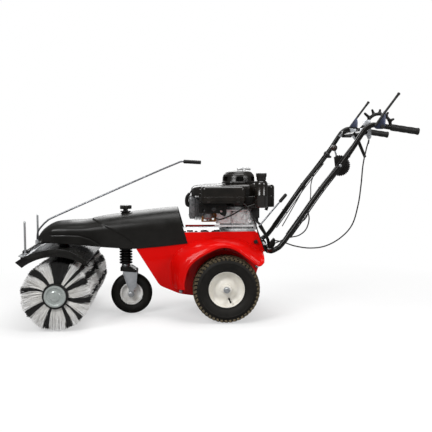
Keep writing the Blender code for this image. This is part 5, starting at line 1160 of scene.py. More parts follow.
def build_engine_metal():
    base = DECK_TOP + CLEARANCE
    case = turned("crankcase_body", [
        (0, base), (0.0985, base), (0.0995, base + 0.001), (0.0995, base + 0.0100),
        (0.0965, base + 0.0118), (0.0795, base + 0.0125), (0.0760, base + 0.0260),
        (0.0850, base + 0.0300), (0.1025, base + 0.0380), (0.1038, base + 0.0400),
        (0.1038, 0.487), (0.1010, 0.4895), (0.1010, 0.4935), (0.1038, 0.496), (0.1038, 0.520),
        (0.0990, 0.533), (0.0915, 0.5555), (0.080, 0.5568), (0, 0.5568)], CRANK_AT, steps=72)
    barrel = block("barrel", CRANK.x - 0.1498, CRANK.x - 0.056, -0.0505, 0.0505, 0.494, 0.599,
                   0.008)
    tower = bar("blower_tower", 0.030, 0.55, 0.640, CRANK_AT)
    bosses = []
    for k in range(8):
        turn = math.radians(22.5 + 45 * k)
        spot = (CRANK.x + 0.0985 * math.cos(turn), 0.0985 * math.sin(turn), 0)
        if 0.055 > abs(spot[1]) and spot[0] < CRANK.x:
            continue
        bosses.append(bar("bolt_boss", 0.0075, base + 0.034, 0.528, spot, steps=20))
    ribs = []
    for k in range(12):
        turn = 2 * math.pi * k / 12 + 0.13
        rib = block("case_rib", 0.070, 0.0985, -0.0020, 0.0020, base + 0.010, base + 0.036, 0.0006,
                    1)
        rib.data.transform(Matrix.Rotation(turn, 4, "Z"))
        rib.data.transform(Matrix.Translation(CRANK_AT))
        ribs.append(rib)
    cut(case, bar("shaft_bore", 0.0116, 0.40, 0.468, CRANK_AT))
    fit(joined([case, tower, *bosses, *ribs, barrel]), CAST, "chassis", "cast_aluminium",
        "crankcase", angle=35)

    heads = []
    for k in range(4):
        turn = math.radians(45 + 90 * k)
        spot = (CRANK.x + 0.090 * math.cos(turn), 0.090 * math.sin(turn), 0)
        heads.append(turned("foot_bolt", [(0, base + 0.0117), (0.0075, base + 0.0117),
                                          (0.0075, base + 0.0178), (0, base + 0.0182)], spot,
                            steps=6))
    for k in range(8):
        turn = math.radians(22.5 + 45 * k)
        spot = (CRANK.x + 0.0985 * math.cos(turn), 0.0985 * math.sin(turn), 0)
        if 0.055 > abs(spot[1]) and spot[0] < CRANK.x:
            continue
        heads.append(turned("case_bolt", [(0, 0.5278), (0.0058, 0.5278), (0.0058, 0.5335),
                                          (0, 0.5340)], spot, steps=6))
    fit(joined(heads), STEEL, "chassis", "dark_steel", angle=25)

    front, rear = -0.1498, CRANK.x - 0.1501
    core = block("head_core", front, rear, -0.040, 0.040, 0.501, 0.597, 0.004)
    head = joined([core, *fins("head_fin", front + 0.001, rear - 0.0005, 0.0575, 0.487, 0.605, 11,
                               0.0032)])
    # the head and its fins take the darkened casting: painted shade under the shroud
    fit(head, SHADED_CAST, "chassis", "cast_aluminium", "cylinder_head")
    face = [(-0.052, 0.4925), (0.052, 0.4925), (0.0558, 0.502), (0.0558, 0.596), (0.046, 0.6095),
            (-0.046, 0.6095), (-0.0558, 0.596), (-0.0558, 0.502)]
    cover = plate("rocker_box", rounded(face, 0.010), front - 0.0258, front - CLEARANCE, "YZ",
                  edge=0.0045, steps=3)
    lip = plate("rocker_lip", rounded(face, 0.010), front - 0.0050, front - CLEARANCE, "YZ",
                edge=0.0008)
    raised = plate("rocker_panel", rounded([(-0.034, 0.515), (0.034, 0.515), (0.034, 0.588),
                                            (-0.034, 0.588)], 0.012), front - 0.0275,
                   front - 0.024, "YZ", edge=0.0012)
    screws = [turned("cover_screw", [(0, 0.0245), (0.0052, 0.0245), (0.0052, 0.0285), (0, 0.0290)],
                     (front, y, z), (-1, 0, 0), 6)
              for y in (-0.044, 0.044) for z in (0.507, 0.594)]
    # the rocker cover takes the darkened casting too: painted shade
    fit(joined([cover, lip, raised, *screws]), SHADED_CAST, "chassis", "cast_aluminium",
        "rocker_cover")
    boot = tube("plug_boot", [(-0.168, -0.030, 0.560), (-0.186, -0.032, 0.566),
                              (-0.188, -0.040, 0.600), (-0.176, -0.046, 0.622)], 0.0102, 0.004, 5,
                sizes=[1.0, 1.0, 0.92, 0.72])
    cord = tube("plug_lead", [(-0.176, -0.046, 0.618), (-0.160, -0.056, 0.640),
                              (-0.118, -0.064, 0.648), (-0.080, -0.060, 0.640)], 0.0036, 0.006, 4)
    fit(joined([boot, cord]), SOFT_RUBBER, "chassis", "belt_rubber")

    bowl = turned("float_bowl", [
        (0, 0.4972), (0.0105, 0.4972), (0.0125, 0.4992), (0.0165, 0.5020), (0.0200, 0.5065),
        (0.0208, 0.5110), (0.0208, 0.5290), (0.0225, 0.5312), (0.0225, 0.5335), (0.0268, 0.5352),
        (0.0268, 0.5780), (0.0255, 0.5795), (0, 0.5795)], (-0.088, -0.142, 0), steps=48)
    drain = turned("bowl_nut", [(0, 0.4925), (0.0060, 0.4925), (0.0060, 0.4975), (0, 0.4975)],
                   (-0.088, -0.142, 0), steps=6)
    throat = bar("throat", 0.0158, -0.1418, -0.0528, (-0.050, 0, 0.552), (0, 1, 0))
    lump = block("carb_block", -0.0975, -0.0325, -0.1575, -0.1245, 0.5365, 0.5715, 0.004)
    lever = plate("throttle_arm", rounded([(-0.098, 0.560), (-0.086, 0.572), (-0.060, 0.578),
                                           (-0.052, 0.570), (-0.070, 0.558)], 0.003), -0.1615,
                  -0.1590, edge=0.0004)
    spring = tube("return_spring", [(-0.060 + 0.0035 * math.cos(k * 1.2), -0.160 + 0.0035
                                     * math.sin(k * 1.2), 0.500 + 0.0022 * k) for k in range(30)],
                  0.0007, 0.002, 3)
    # the carburettor takes the darkened casting too: painted shade under the air box
    fit(joined([bowl, drain, throat, lump, lever, spring]), SHADED_CAST, "chassis",
        "cast_aluminium", "carburettor")
    stay = plate("control_plate", rounded([(-0.119, 0.484), (-0.046, 0.484), (-0.042, 0.522),
                                           (-0.060, 0.540), (-0.080, 0.535), (-0.116, 0.512)],
                                          0.006), -0.1285, -0.1258, edge=0.0006)
    hole = bar("plate_hole", 0.006, -0.14, -0.11, (-0.060, 0, 0.500), (0, 1, 0))
    slot = plate("plate_slot", round_box(-0.108, -0.080, 0.491, 0.498, 0.0034), -0.14, -0.11)
    cut(stay, hole, slot)
    web = plate("governor_web", rounded([(-0.130, 0.530), (-0.036, 0.530), (-0.004, 0.512),
                                         (0.006, 0.530), (0.004, 0.584), (-0.130, 0.584)], 0.008),
                -0.1700, -0.1650, edge=0.0010)
    windows = [bar("web_hole", r, -0.18, -0.15, (x, 0, z), (0, 1, 0))
               for x, z, r in ((-0.110, 0.545, 0.008), (-0.058, 0.550, 0.011),
                               (-0.022, 0.540, 0.006))]
    cut(web, *windows)
    strut = block("web_strut", -0.128, -0.112, -0.1660, -0.1000, 0.5300, 0.5840, 0.003)
    link = tube("long_link", [(-0.122, -0.172, 0.570), (-0.060, -0.174, 0.560),
                              (0.010, -0.168, 0.566), (0.060, -0.150, 0.562)], 0.0014, 0.01, 3)
    fit(joined([web, strut, link]), TUBE_BLACK, "chassis", "black_paint", angle=30)
    fit(stay, BROWN, "chassis", "zinc")
    lumps = [block("case_lump", -0.044, 0.030, -0.1040, -0.0700, 0.4720, 0.5400, 0.006),
             block("case_flange", -0.050, 0.148, -0.1085, -0.0900, 0.4560, 0.4660, 0.002),
             block("case_ledge", -0.046, 0.120, -0.1120, -0.0980, 0.5360, 0.5440, 0.002)]
    for x, z, r in ((-0.036, 0.524, 0.009), (-0.030, 0.482, 0.008), (0.010, 0.500, 0.013),
                    (0.046, 0.524, 0.008), (0.050, 0.484, 0.010), (0.094, 0.506, 0.012),
                    (0.124, 0.486, 0.008), (0.120, 0.530, 0.009)):
        lumps.append(turned("case_boss", [(0, 0), (r, 0), (r, 0.012), (r * 0.9, 0.0135),
                                          (r * 0.55, 0.0135), (r * 0.50, 0.0105), (0, 0.0105)],
                            (x, -0.1030, z), (0, -1, 0), 24))
    fit(joined(lumps), CAST, "chassis", "cast_aluminium")
    dark = [block("dipstick_foot", 0.150, 0.172, -0.0900, -0.0600, 0.4800, 0.5600, 0.004),
            block("side_bracket", 0.138, 0.176, -0.1000, -0.0960, 0.5000, 0.5600, 0.002),
            tube("drain_pipe", [(0.150, -0.095, 0.500), (0.168, -0.104, 0.478),
                                (0.184, -0.104, 0.462)], 0.006, 0.004, 5)]
    fit(joined(dark), STEEL, "chassis", "dark_steel")

    can = block("muffler_can", -0.1097, 0.0597, 0.1268, 0.1818, 0.5603, 0.6497, 0.012)
    louvres = [plate("louvre", round_box(-0.088 + 0.024 * k, -0.076 + 0.024 * k, 0.578, 0.632,
                                         0.004),
                     0.176, 0.20) for k in range(6)]
    cut(can, *louvres)
    pipe_out = bar("exhaust_pipe", 0.014, 0.0528, 0.135, (-0.050, 0, 0.575), (0, 1, 0))
    fit(joined([can, pipe_out]), STEEL, "chassis", "dark_steel", "muffler")


def rounded_slab(name, x0, x1, y0, y1, radius, z0, z1, edge, steps=3):
    """Plate-like body: the outline extruded upwards, its top edge rounded."""
    piece = plate(name, round_box(x0, x1, y0, y1, radius), z0, z1, "XY")
    take(piece)
    bpy.ops.object.mode_set(mode="EDIT")
    bpy.ops.mesh.select_all(action="DESELECT")
    bpy.ops.object.mode_set(mode="OBJECT")
    for rim in piece.data.edges:
        heights = [piece.data.vertices[v].co.z for v in rim.vertices]
        rim.select = min(heights) > z1 - 1e-5
    for face in piece.data.polygons:
        face.select = face.center.z > z1 - 1e-5
    bpy.ops.object.mode_set(mode="EDIT")
    bpy.ops.mesh.bevel(offset=edge, segments=steps + 2, affect="EDGES", offset_type="OFFSET")
    bpy.ops.object.mode_set(mode="OBJECT")
    return close_up(piece, 1e-5)


def build_engine_covers():
    shroud = rounded_slab("shroud_skin", -0.1648, 0.1758, -0.1178, 0.1258, 0.070, 0.6122, 0.6718,
                          0.024, 5)
    inside = rounded_slab("shroud_inside", -0.1620, 0.1730, -0.1150, 0.1230, 0.067, 0.600, 0.6690,
                          0.022, 3)
    intake = bar("intake", 0.052, 0.6, 0.70, CRANK_AT)
    cut(shroud, inside, intake)
    lip = plate("shroud_lip", round_box(-0.1650, 0.1760, -0.1180, 0.1260, 0.0702), 0.6240, 0.6290,
                "XY", edge=0.0012)
    lip_cut = plate("lip_cut", round_box(-0.1630, 0.1740, -0.1160, 0.1240, 0.0682), 0.61, 0.64,
                    "XY")
    cut(lip, lip_cut)
    slope = joined([shroud, lip])
    for vertex in slope.data.vertices:
        ahead = max(0.0, (0.010 - vertex.co.x) / 0.175)
        vertex.co.z -= 0.0150 * ahead ** 1.3 * max(0.0, (vertex.co.z - 0.6122) / 0.0596)
    fit(slope, GLOSS, "chassis", "black_plastic", "blower_shroud", angle=40)

    skirt = turned("fan_skirt", [(0.031, 0.5575), (0.0890, 0.5575), (0.0930, 0.5620),
                                 (0.0960, 0.6050), (0.0960, 0.6118), (0.031, 0.6118),
                                 (0.031, 0.5575)], CRANK_AT, steps=72)
    coil = block("coil_cover", 0.118, 0.162, -0.098, -0.052, 0.5625, 0.6110, 0.004)
    lower = block("lower_guard", 0.100, 0.158, -0.1180, -0.0950, 0.5480, 0.6110, 0.006)
    elbow = tube("intake_elbow", [(-0.095, -0.150, 0.582), (-0.110, -0.140, 0.560),
                                  (-0.112, -0.122, 0.540), (-0.104, -0.100, 0.530)], 0.011, 0.004,
                                  5)
    hose = tube("fuel_hose", [(-0.066, -0.160, 0.520), (-0.030, -0.168, 0.500),
                              (0.030, -0.160, 0.520), (0.090, -0.150, 0.552),
                              (0.150, -0.140, 0.572)], 0.0036, 0.006, 4)
    link = tube("governor_rod", [(-0.060, -0.164, 0.574), (0.000, -0.156, 0.568),
                                 (0.045, -0.140, 0.560)], 0.0013, 0.01, 3)
    cowl = block("head_cowl", -0.128, -0.060, -0.1100, -0.0600, 0.5600, 0.6110, 0.006)
    fit(joined([skirt, coil, elbow, hose, link, cowl, lower]), COVER, "chassis", "black_plastic",
        angle=40)

    top = 0.6722
    dome = turned("recoil_dome", [
        (0.046, top), (0.0858, top), (0.0858, top + 0.0075), (0.0840, top + 0.0090),
        (0.0826, top + 0.0120), (0.0815, top + 0.0300), (0.0785, top + 0.0420),
        (0.0735, top + 0.0490), (0.0710, top + 0.0500), (0.0700, top + 0.0525),
        (0.0630, top + 0.0585), (0.0560, 0.7330), (0.0460, 0.7345), (0.0340, 0.7348),
        (0.0320, 0.7320), (0.0, 0.7312)], CRANK_AT, steps=96)
    windows = []
    for k in range(6):
        window = plate("window", round_box(-0.0175, 0.0175, top + 0.0125, top + 0.0350, 0.004),
                       0.052, 0.12, "YZ")
        window.data.transform(Matrix.Rotation(math.radians(60 * k + 30), 4, "Z"))
        window.data.transform(Matrix.Translation(CRANK_AT))
        windows.append(window)
    cut(dome, *windows)
    fans = []
    for k in range(16):
        blade = block("fan_blade", 0.034, 0.066, -0.0012, 0.0012, top - 0.022, top + 0.036)
        blade.data.transform(Matrix.Rotation(2 * math.pi * k / 16, 4, "Z"))
        blade.data.transform(Matrix.Translation(CRANK_AT))
        fans.append(blade)
    disc = bar("fan_disc", 0.066, top - 0.026, top - 0.022, CRANK_AT)
    legs = []
    for k in range(3):
        leg = block("recoil_foot", 0.076, 0.096, -0.009, 0.009, top + 0.0002, top + 0.006, 0.002)
        leg.data.transform(Matrix.Rotation(math.radians(120 * k), 4, "Z"))
        leg.data.transform(Matrix.Translation(CRANK_AT))
        legs.append(leg)
    fit(joined([dome, *legs]), COVER, "chassis", "black_plastic", "recoil_housing", angle=40)
    fit(joined([disc, *fans]), COVER, "chassis", "black_plastic")
    bolts = []
    for k in range(3):
        turn = math.radians(120 * k)
        spot = (CRANK.x + 0.0905 * math.cos(turn), 0.0905 * math.sin(turn), 0)
        bolts.append(turned("recoil_bolt", [(0, top + 0.0058), (0.0045, top + 0.0058),
                                            (0.0045, top + 0.0105), (0, top + 0.0108)], spot,
                            steps=6))
    fit(joined(bolts), ZINC, "chassis", "zinc", angle=25)

    box = rounded_slab("air_box", -0.1218, 0.0988, -0.1958, -0.1192, 0.024, 0.5902, 0.6638, 0.016,
                       4)
    foot = rounded_slab("air_box_foot", -0.1160, 0.0930, -0.1900, -0.1200, 0.020, 0.5802, 0.5960,
                        0.002, 2)
    rim = rounded_slab("air_box_rim", -0.1222, 0.0992, -0.1962, -0.1188, 0.0244, 0.6060, 0.6120,
                       0.0012, 2)
    lug = block("air_box_lug", -0.0995, 0.0495, -0.1248, -0.1186, 0.6005, 0.6275, 0.002)
    wing = turned("wing_nut", [(0, 0.6636), (0.011, 0.6636), (0.011, 0.6672), (0.0085, 0.6690),
                               (0, 0.6692)], (-0.012, -0.158, 0), steps=6)
    snaps = [block("air_box_snap", x - 0.009, x + 0.009, -0.1975, -0.1950, 0.584, 0.608, 0.0009)
             for x in (-0.085, 0.060)]
    fit(joined([box, foot, rim, lug, wing, *snaps]), GLOSS, "chassis", "black_plastic",
        "air_filter_cover", angle=40)

    tank = rounded_slab("tank_box", 0.1788, 0.2518, -0.1118, 0.1098, 0.026, 0.5562, 0.6678, 0.014,
                        4)
    seam = plate("tank_seam", round_box(0.1782, 0.2524, -0.1124, 0.1104, 0.0264), 0.6080, 0.6130,
                 "XY", edge=0.001)
    bridge = block("tank_bridge", 0.1845, 0.2045, -0.151, -0.082, 0.590, 0.640, 0.004)
    pot = turned("tank_pot", [
        (0, 0.5562), (0.0255, 0.5562), (0.0295, 0.5578), (0.0318, 0.5620), (0.0318, 0.6150),
        (0.0324, 0.6160), (0.0324, 0.6195), (0.0318, 0.6205), (0.0318, 0.6700), (0.0308, 0.6770),
        (0.0280, 0.6835), (0.0235, 0.6885), (0.0200, 0.6915), (0.0189, 0.6930), (0.0189, 0.6998),
        (0, 0.6998)], TANK_CAP, steps=64)
    outlet = bar("tank_outlet", 0.0080, 0.0, 0.040, (0.214, -0.06, 0.536), (0.3, 0, 1))
    arm = block("tank_arm", 0.1768, 0.1838, -0.0498, 0.0498, 0.6122, 0.6398, 0.001)
    fit(joined([tank, seam, pot, bridge, outlet, arm]), GLOSS, "chassis", "black_plastic",
        "fuel_tank", angle=40)
    knurl = []
    for k in range(144):
        turn = 2 * math.pi * k / 144
        radius = 0.0263 + 0.0006 * math.copysign(abs(math.sin(12 * turn)) ** 0.5,
                                                 math.sin(12 * turn))
        knurl.append((TANK_CAP[0] + radius * math.cos(turn), TANK_CAP[1] + radius * math.sin(turn)))
    cap = plate("tank_cap", knurl, 0.7080, 0.7275, "XY", 0.0035, 3)
    skirt = turned("cap_skirt", [(0.0195, 0.6926), (0.0235, 0.6926), (0.0235, 0.7085),
                                 (0.0195, 0.7085), (0.0195, 0.6926)], TANK_CAP, steps=48)
    fit(joined([cap, skirt]), COVER, "cap", "black_plastic", "fuel_cap", angle=40)

    grip = tube("pull_bar", [(0.072, -0.016, 0.7435), (0.088, -0.008, 0.7475), (0.106, 0.0, 0.7485),
                             (0.124, 0.008, 0.7475), (0.140, 0.016, 0.7435)], 0.0078, 0.003, 6,
                sizes=[0.80, 1.0, 1.05, 1.0, 0.80])
    neck = turned("pull_neck", [(0, 0.7354), (0.0098, 0.7354), (0.0098, 0.7385), (0.0072, 0.7455),
                                (0, 0.7455)], (0.106, 0, 0), steps=32)
    fit(joined([grip, neck]), CAST, "starter", "black_plastic", "starter_grip", angle=40)

    wire = tube("throttle_wire", in_plane([(0.088, 0.578), (0.112, 0.556), (0.138, 0.504),
                                           (0.163, 0.434), (0.1835, 0.379), (0.200, 0.344)],
                                          -0.158), 0.0031, 0.006, 3)
    fit(wire, SHEATH, "chassis", "cable_sheath", "throttle_cable")


build_engine_metal()
build_engine_covers()


# ------------------------------------------------------------ handlebar
HANDLE_PATH = [
    (0.240, 0.361), (0.284, 0.404), (0.453, 0.645), (0.573, 0.797), (0.654, 0.919),
    (0.673, 0.943), (0.694, 0.957), (0.721, 0.960), (0.795, 0.949), (0.929, 0.9295),
]


def tube_route(side):
    bend = 0.038
    base_x, base_z = HANDLE_BASE
    corner = (base_x, side * (HALF_HANDLE - bend), base_z)
    turn = [(base_x + (HANDLE_PATH[0][0] - base_x) * (1 - math.cos(a)),
             side * (HALF_HANDLE - bend + bend * math.sin(a)),
             base_z + (HANDLE_PATH[0][1] - base_z) * (1 - math.cos(a)))
            for a in (math.pi / 2 * k / 4 for k in range(1, 4))]
    start = (base_x, side * (HALF_HANDLE - bend - 0.004), base_z)
    return [start, corner, *turn, *in_plane(HANDLE_PATH, side * HALF_HANDLE)]


def grip_profile(length):
    profile = [(0.0128, 0.0), (0.0142, 0.0), (0.0152, 0.0015)]
    ribs = 3
    for k in range(ribs):
        low = 0.004 + k * (length - 0.016) / ribs
        high = low + (length - 0.016) / ribs * 0.72
        profile += [(0.0158, low + 0.0005), (0.0163, low + 0.004), (0.0163, high - 0.003),
                    (0.0156, high), (0.0154, high + 0.004)]
    return profile + [(0.0160, length - 0.009), (0.0173, length - 0.007), (0.0173, length - 0.002),
                      (0.0160, length + 0.0006), (0.0, length + 0.0018)]


def build_handle():
    for side, suffix in ((-1, "left"), (1, "right")):
        pipe = tube(f"tube_{suffix}", tube_route(side), TUBE_RADIUS, 0.008, 6)
        fit(pipe, TUBE_BLACK, "handle", "black_paint", f"handle_tube_{suffix}", angle=45)
        start = Vector((0.795, side * HALF_HANDLE, 0.949))
        end = Vector((0.929, side * HALF_HANDLE, 0.9295))
        along = (end - start).normalized()
        grip = turned(f"soft_grip_{suffix}", grip_profile(0.138), start - along * 0.001, along, 40)
        fit(grip, SOFT_RUBBER, "handle", "grip_rubber", f"grip_{suffix}", angle=40)

    base = (HANDLE_BASE[0], 0, HANDLE_BASE[1])
    bar_end = HALF_HANDLE - 0.038 - 0.0043
    rod = bar("base_rod", TUBE_RADIUS, -bar_end, bar_end, base, (0, 1, 0), 0.0005, 40)
    stop = plate("cable_stop", rounded([(0.208, 0.347), (0.226, 0.347), (0.2432, 0.376),
                                        (0.2432, 0.404), (0.236, 0.4098), (0.218, 0.388)], 0.003),
                 -0.1968, -0.1752, edge=0.0012)
    fit(joined([rod, stop]), TUBE_BLACK, "handle", "black_paint", "handle_base_bar")

    build_crossbar()
    build_quadrant()
    build_cables()


def build_crossbar():
    cross = (0.676, 0.926)
    half = HALF_HANDLE - TUBE_RADIUS - CLEARANCE
    rod = bar("cross_rod", 0.010, -half, half, (cross[0], 0, cross[1]), (0, 1, 0), 0.0005, 32)
    centre = (0.806, 0.966)
    prongs = [(139, 0.1000), (113.5, 0.0910), (86.5, 0.0842), (55.5, 0.0842), (25, 0.0862)]
    outline = arc(centre, 0.0540, 2, 160, 30)
    crest = [(0.0700, 162)]
    for number, (angle, reach) in enumerate(prongs):
        crest += [(0.0705, angle + 9.0), (0.0735, angle + 5.8), (reach, angle + 3.2),
                  (reach, angle - 3.2), (0.0735, angle - 5.8), (0.0705, angle - 9.0)]
        if number + 1 < len(prongs):
            crest.append((0.0698, (angle + prongs[number + 1][0]) / 2))
    crest += [(0.0705, 2)]
    for reach, angle in crest:
        a = math.radians(angle)
        outline.append((centre[0] + reach * math.cos(a), centre[1] + reach * math.sin(a)))
    gate = [plate("shift_gate", outline, -0.0024, 0.0024, edge=0.0005)]
    for angle, reach in prongs:
        a = math.radians(angle)
        spot = (centre[0] + (reach - 0.0025) * math.cos(a), 0,
                centre[1] + (reach - 0.0025) * math.sin(a))
        gate.append(bar("prong_tip", 0.0056, -0.0045, 0.0045, spot, (0, 1, 0), 0.0015, 20))
    leg = plate("gate_leg", [(0.672, 0.920), (0.690, 0.918), (0.757, 0.972), (0.751, 0.992),
                             (0.738, 0.990)], -0.0022, 0.0022, edge=0.0005)
    guide = plate("gate_guide", rounded([(0.660, 0.930), (0.674, 0.938), (0.7293, 0.8080),
                                         (0.7190, 0.8010)], 0.003), -0.0570, -0.0430, edge=0.0008)
    fit(joined([*gate, rod, leg, guide]), TUBE_BLACK, "handle", "black_paint")
    blocks = [block("tube_block", 0.6605, 0.7115, -0.2038, -0.1762, 0.9122, 0.9478, 0.004),
              plate("far_bracket", rounded([(0.698, 0.962), (0.7335, 0.958), (0.7330, 0.892),
                                            (0.7150, 0.912)], 0.003), 0.176, 0.180, edge=0.0006)]
    far_block = block("far_block", 0.6605, 0.7115, 0.1762, 0.2038, 0.9122, 0.9478, 0.004)
    fit(far_block, TUBE_BLACK, "handle", "black_paint")
    stop = plate("cable_bracket", rounded([(0.690, 0.915), (0.7118, 0.9298), (0.7148, 0.905),
                                           (0.707, 0.8932), (0.699, 0.8932)], 0.003), -0.1958,
                 -0.1842, edge=0.0008)
    lugs = []
    for side in (-1, 1):
        lug = [(cross[0] - 0.0258, cross[1] - 0.006), (cross[0] + 0.004, cross[1] - 0.0128),
               (cross[0] + 0.0128, cross[1]), (cross[0] + 0.002, cross[1] + 0.0258)]
        low, high = sorted((side * (half - SHEET), side * half))
        lugs.append(plate("tube_lug", rounded(lug, 0.004), low, high, edge=0.0005))
    seat = block("tube_clamp", 0.672, 0.699, -0.2319, -0.184, 0.958, 0.986, 0.004)
    fit(joined([seat, *blocks, stop, *lugs]), PALE_ZINC, "handle", "zinc",
        "handle_crossbar", angle=32)


def build_quadrant():
    face = -HALF_HANDLE + TUBE_RADIUS + CLEARANCE
    teeth = []
    count = 22
    for k in range(count * 8):
        turn = math.radians(125 - 235 * k / (count * 8 - 1))
        radius = 0.0510 - (0.0032 if k % 8 in (3, 4, 5) else 0.0)
        teeth.append((QUADRANT[0] - 0.006 + radius * math.cos(turn),
                      QUADRANT[1] + radius * math.sin(turn)))
    disc = plate("quadrant_disc", teeth, face, face + 0.0058, edge=0.0006)
    clamp = block("quadrant_clamp", 0.5342, 0.5778, face + 0.005, face + 0.0138, 0.7482, 0.7798,
                  0.002)
    hole = bar("quadrant_hole", 0.0064, -0.3, -0.1, (QUADRANT[0], 0, QUADRANT[1]), (0, 1, 0))
    cut(clamp, copied(hole, Matrix.Identity(4)))
    cut(disc, hole)
    boss = turned("quadrant_boss", [(0.0064, 0.0), (0.016, 0.0), (0.014, 0.0022), (0.0064, 0.0022),
                                    (0.0064, 0.0)], (QUADRANT[0], face, QUADRANT[1]), (0, -1, 0),
                                    32)
    ribs = []
    for k in range(9):
        turn = math.radians(110 - 26 * k)
        rib = block("quadrant_rib", 0.016, 0.042, -0.0012, 0.0012, -0.0016, 0.0004, 0.0004, 1)
        rib.data.transform(Matrix.Rotation(math.radians(90), 4, "X"))
        rib.data.transform(Matrix.Rotation(-turn, 4, "Y"))
        rib.data.transform(Matrix.Translation((QUADRANT[0], face, QUADRANT[1])))
        ribs.append(rib)
    fit(joined([disc, clamp, boss, *ribs]), TUBE_BLACK, "handle", "black_paint", "speed_quadrant")
    bolt = turned("clamp_bolt", [(0, -0.004), (0.0075, -0.004), (0.0075, 0.0030), (0.0062, 0.0042),
                                 (0, 0.0046)], (0.5473, -HALF_HANDLE - TUBE_RADIUS, 0.7650),
                  (0, -1, 0), 6)
    fit(bolt, ZINC, "handle", "zinc", angle=25)


def band(name, spot, along, radius, width, thick):
    """Plastic tie round a tube and its cable."""
    loop = tube(name, [(radius * math.cos(a), radius * math.sin(a), 0)
                       for a in (2 * math.pi * k / 24 for k in range(25))], thick, 0.002, 2)
    loop.data.transform(Matrix.Scale(width / (2 * thick), 4, (0, 0, 1)))
    turn = Vector((0, 0, 1)).rotation_difference(Vector(along)).to_matrix().to_4x4()
    loop.data.transform(Matrix.Translation(spot) @ turn)
    return loop


def build_cables():
    long_run = tube("long_wire", in_plane([
        (0.7032, 0.8912), (0.690, 0.841), (0.676, 0.767), (0.668, 0.669), (0.655, 0.570),
        (0.626, 0.471), (0.567, 0.406), (0.493, 0.367), (0.418, 0.3575), (0.343, 0.368),
        (0.284, 0.388), (0.2445, 0.396)], -0.190), 0.0033, 0.006, 3)
    ferrule = bar("long_ferrule", 0.0040, 0.0, 0.022, (0.7000, -0.190, 0.8700), (0.14, 0, 0.99))
    fit(joined([long_run, ferrule]), SHEATH, "handle", "cable_sheath", "long_cable")
    loop = tube("loop_wire", in_plane([(0.405, 0.545), (0.413, 0.500), (0.398, 0.450),
                                       (0.362, 0.420), (0.310, 0.408), (0.2445, 0.382)], -0.182),
                0.0031, 0.006, 3)
    fit(loop, SHEATH, "handle", "cable_sheath", "loop_cable")
    side_runs = []
    for side in (-1, 1):
        run = [(x - 0.0105, side * (HALF_HANDLE - 0.0055), z + 0.0085)
               for x, z in ((0.664, 0.918), (0.600, 0.833), (0.520, 0.727), (0.453, 0.641),
                            (0.370, 0.522), (0.300, 0.424))]
        side_runs.append(tube("tube_wire", run, 0.0022, 0.008, 3))
        for share in (0.22, 0.55, 0.84):
            low, high = Vector((0.664, 0, 0.924)), Vector((0.300, 0, 0.428))
            spot = low.lerp(high, share)
            spot.y = side * HALF_HANDLE
            along = Vector((0.573 - 0.453, 0, 0.797 - 0.645))
            side_runs.append(band("tie", on_tube(spot), along, 0.0150, 0.0046, 0.0010))
        under = [(x + 0.0115, side * (HALF_HANDLE - 0.0050), z - 0.0090)
                 for x, z in ((0.560, 0.780), (0.453, 0.641), (0.370, 0.522), (0.300, 0.424))]
        side_runs.append(tube("under_wire", under, 0.0026, 0.008, 3))
    side_runs.append(tube("far_wire", in_plane(FAR_WIRE, 0.2270), 0.0026, 0.008, 3))
    side_runs.append(tube("slack_wire", in_plane(SLACK_WIRE, 0.200), 0.0026, 0.006, 3))
    clamp = on_tube(Vector((0.5724, HALF_HANDLE, 0.823)))
    side_runs.append(band("far_clamp", clamp, Vector((0.12, 0, 0.152)), 0.0160, 0.014, 0.0024))
    side_runs.append(block("clamp_screw", clamp.x - 0.004, clamp.x + 0.024, HALF_HANDLE - 0.006,
                           HALF_HANDLE + 0.006, clamp.z - 0.022, clamp.z - 0.010, 0.002))
    fit(joined(side_runs), SHEATH, "handle", "cable_sheath")


FAR_WIRE = [(0.5833, 0.8037), (0.5393, 0.7569), (0.4845, 0.6798), (0.4297, 0.5803),
            (0.3858, 0.5027), (0.3418, 0.4249)]
SLACK_WIRE = [(0.5111, 0.7181), (0.4947, 0.6590), (0.4932, 0.5931), (0.4851, 0.5271),
              (0.4691, 0.4720), (0.4300, 0.4400)]


def on_tube(spot):
    """The point of the straight part of the tube at the same height."""
    for (x0, z0), (x1, z1) in zip(HANDLE_PATH[1:], HANDLE_PATH[2:6]):
        if z0 <= spot.z <= z1:
            share = (spot.z - z0) / (z1 - z0)
            return Vector((x0 + (x1 - x0) * share, spot.y, spot.z))
    return spot


build_handle()


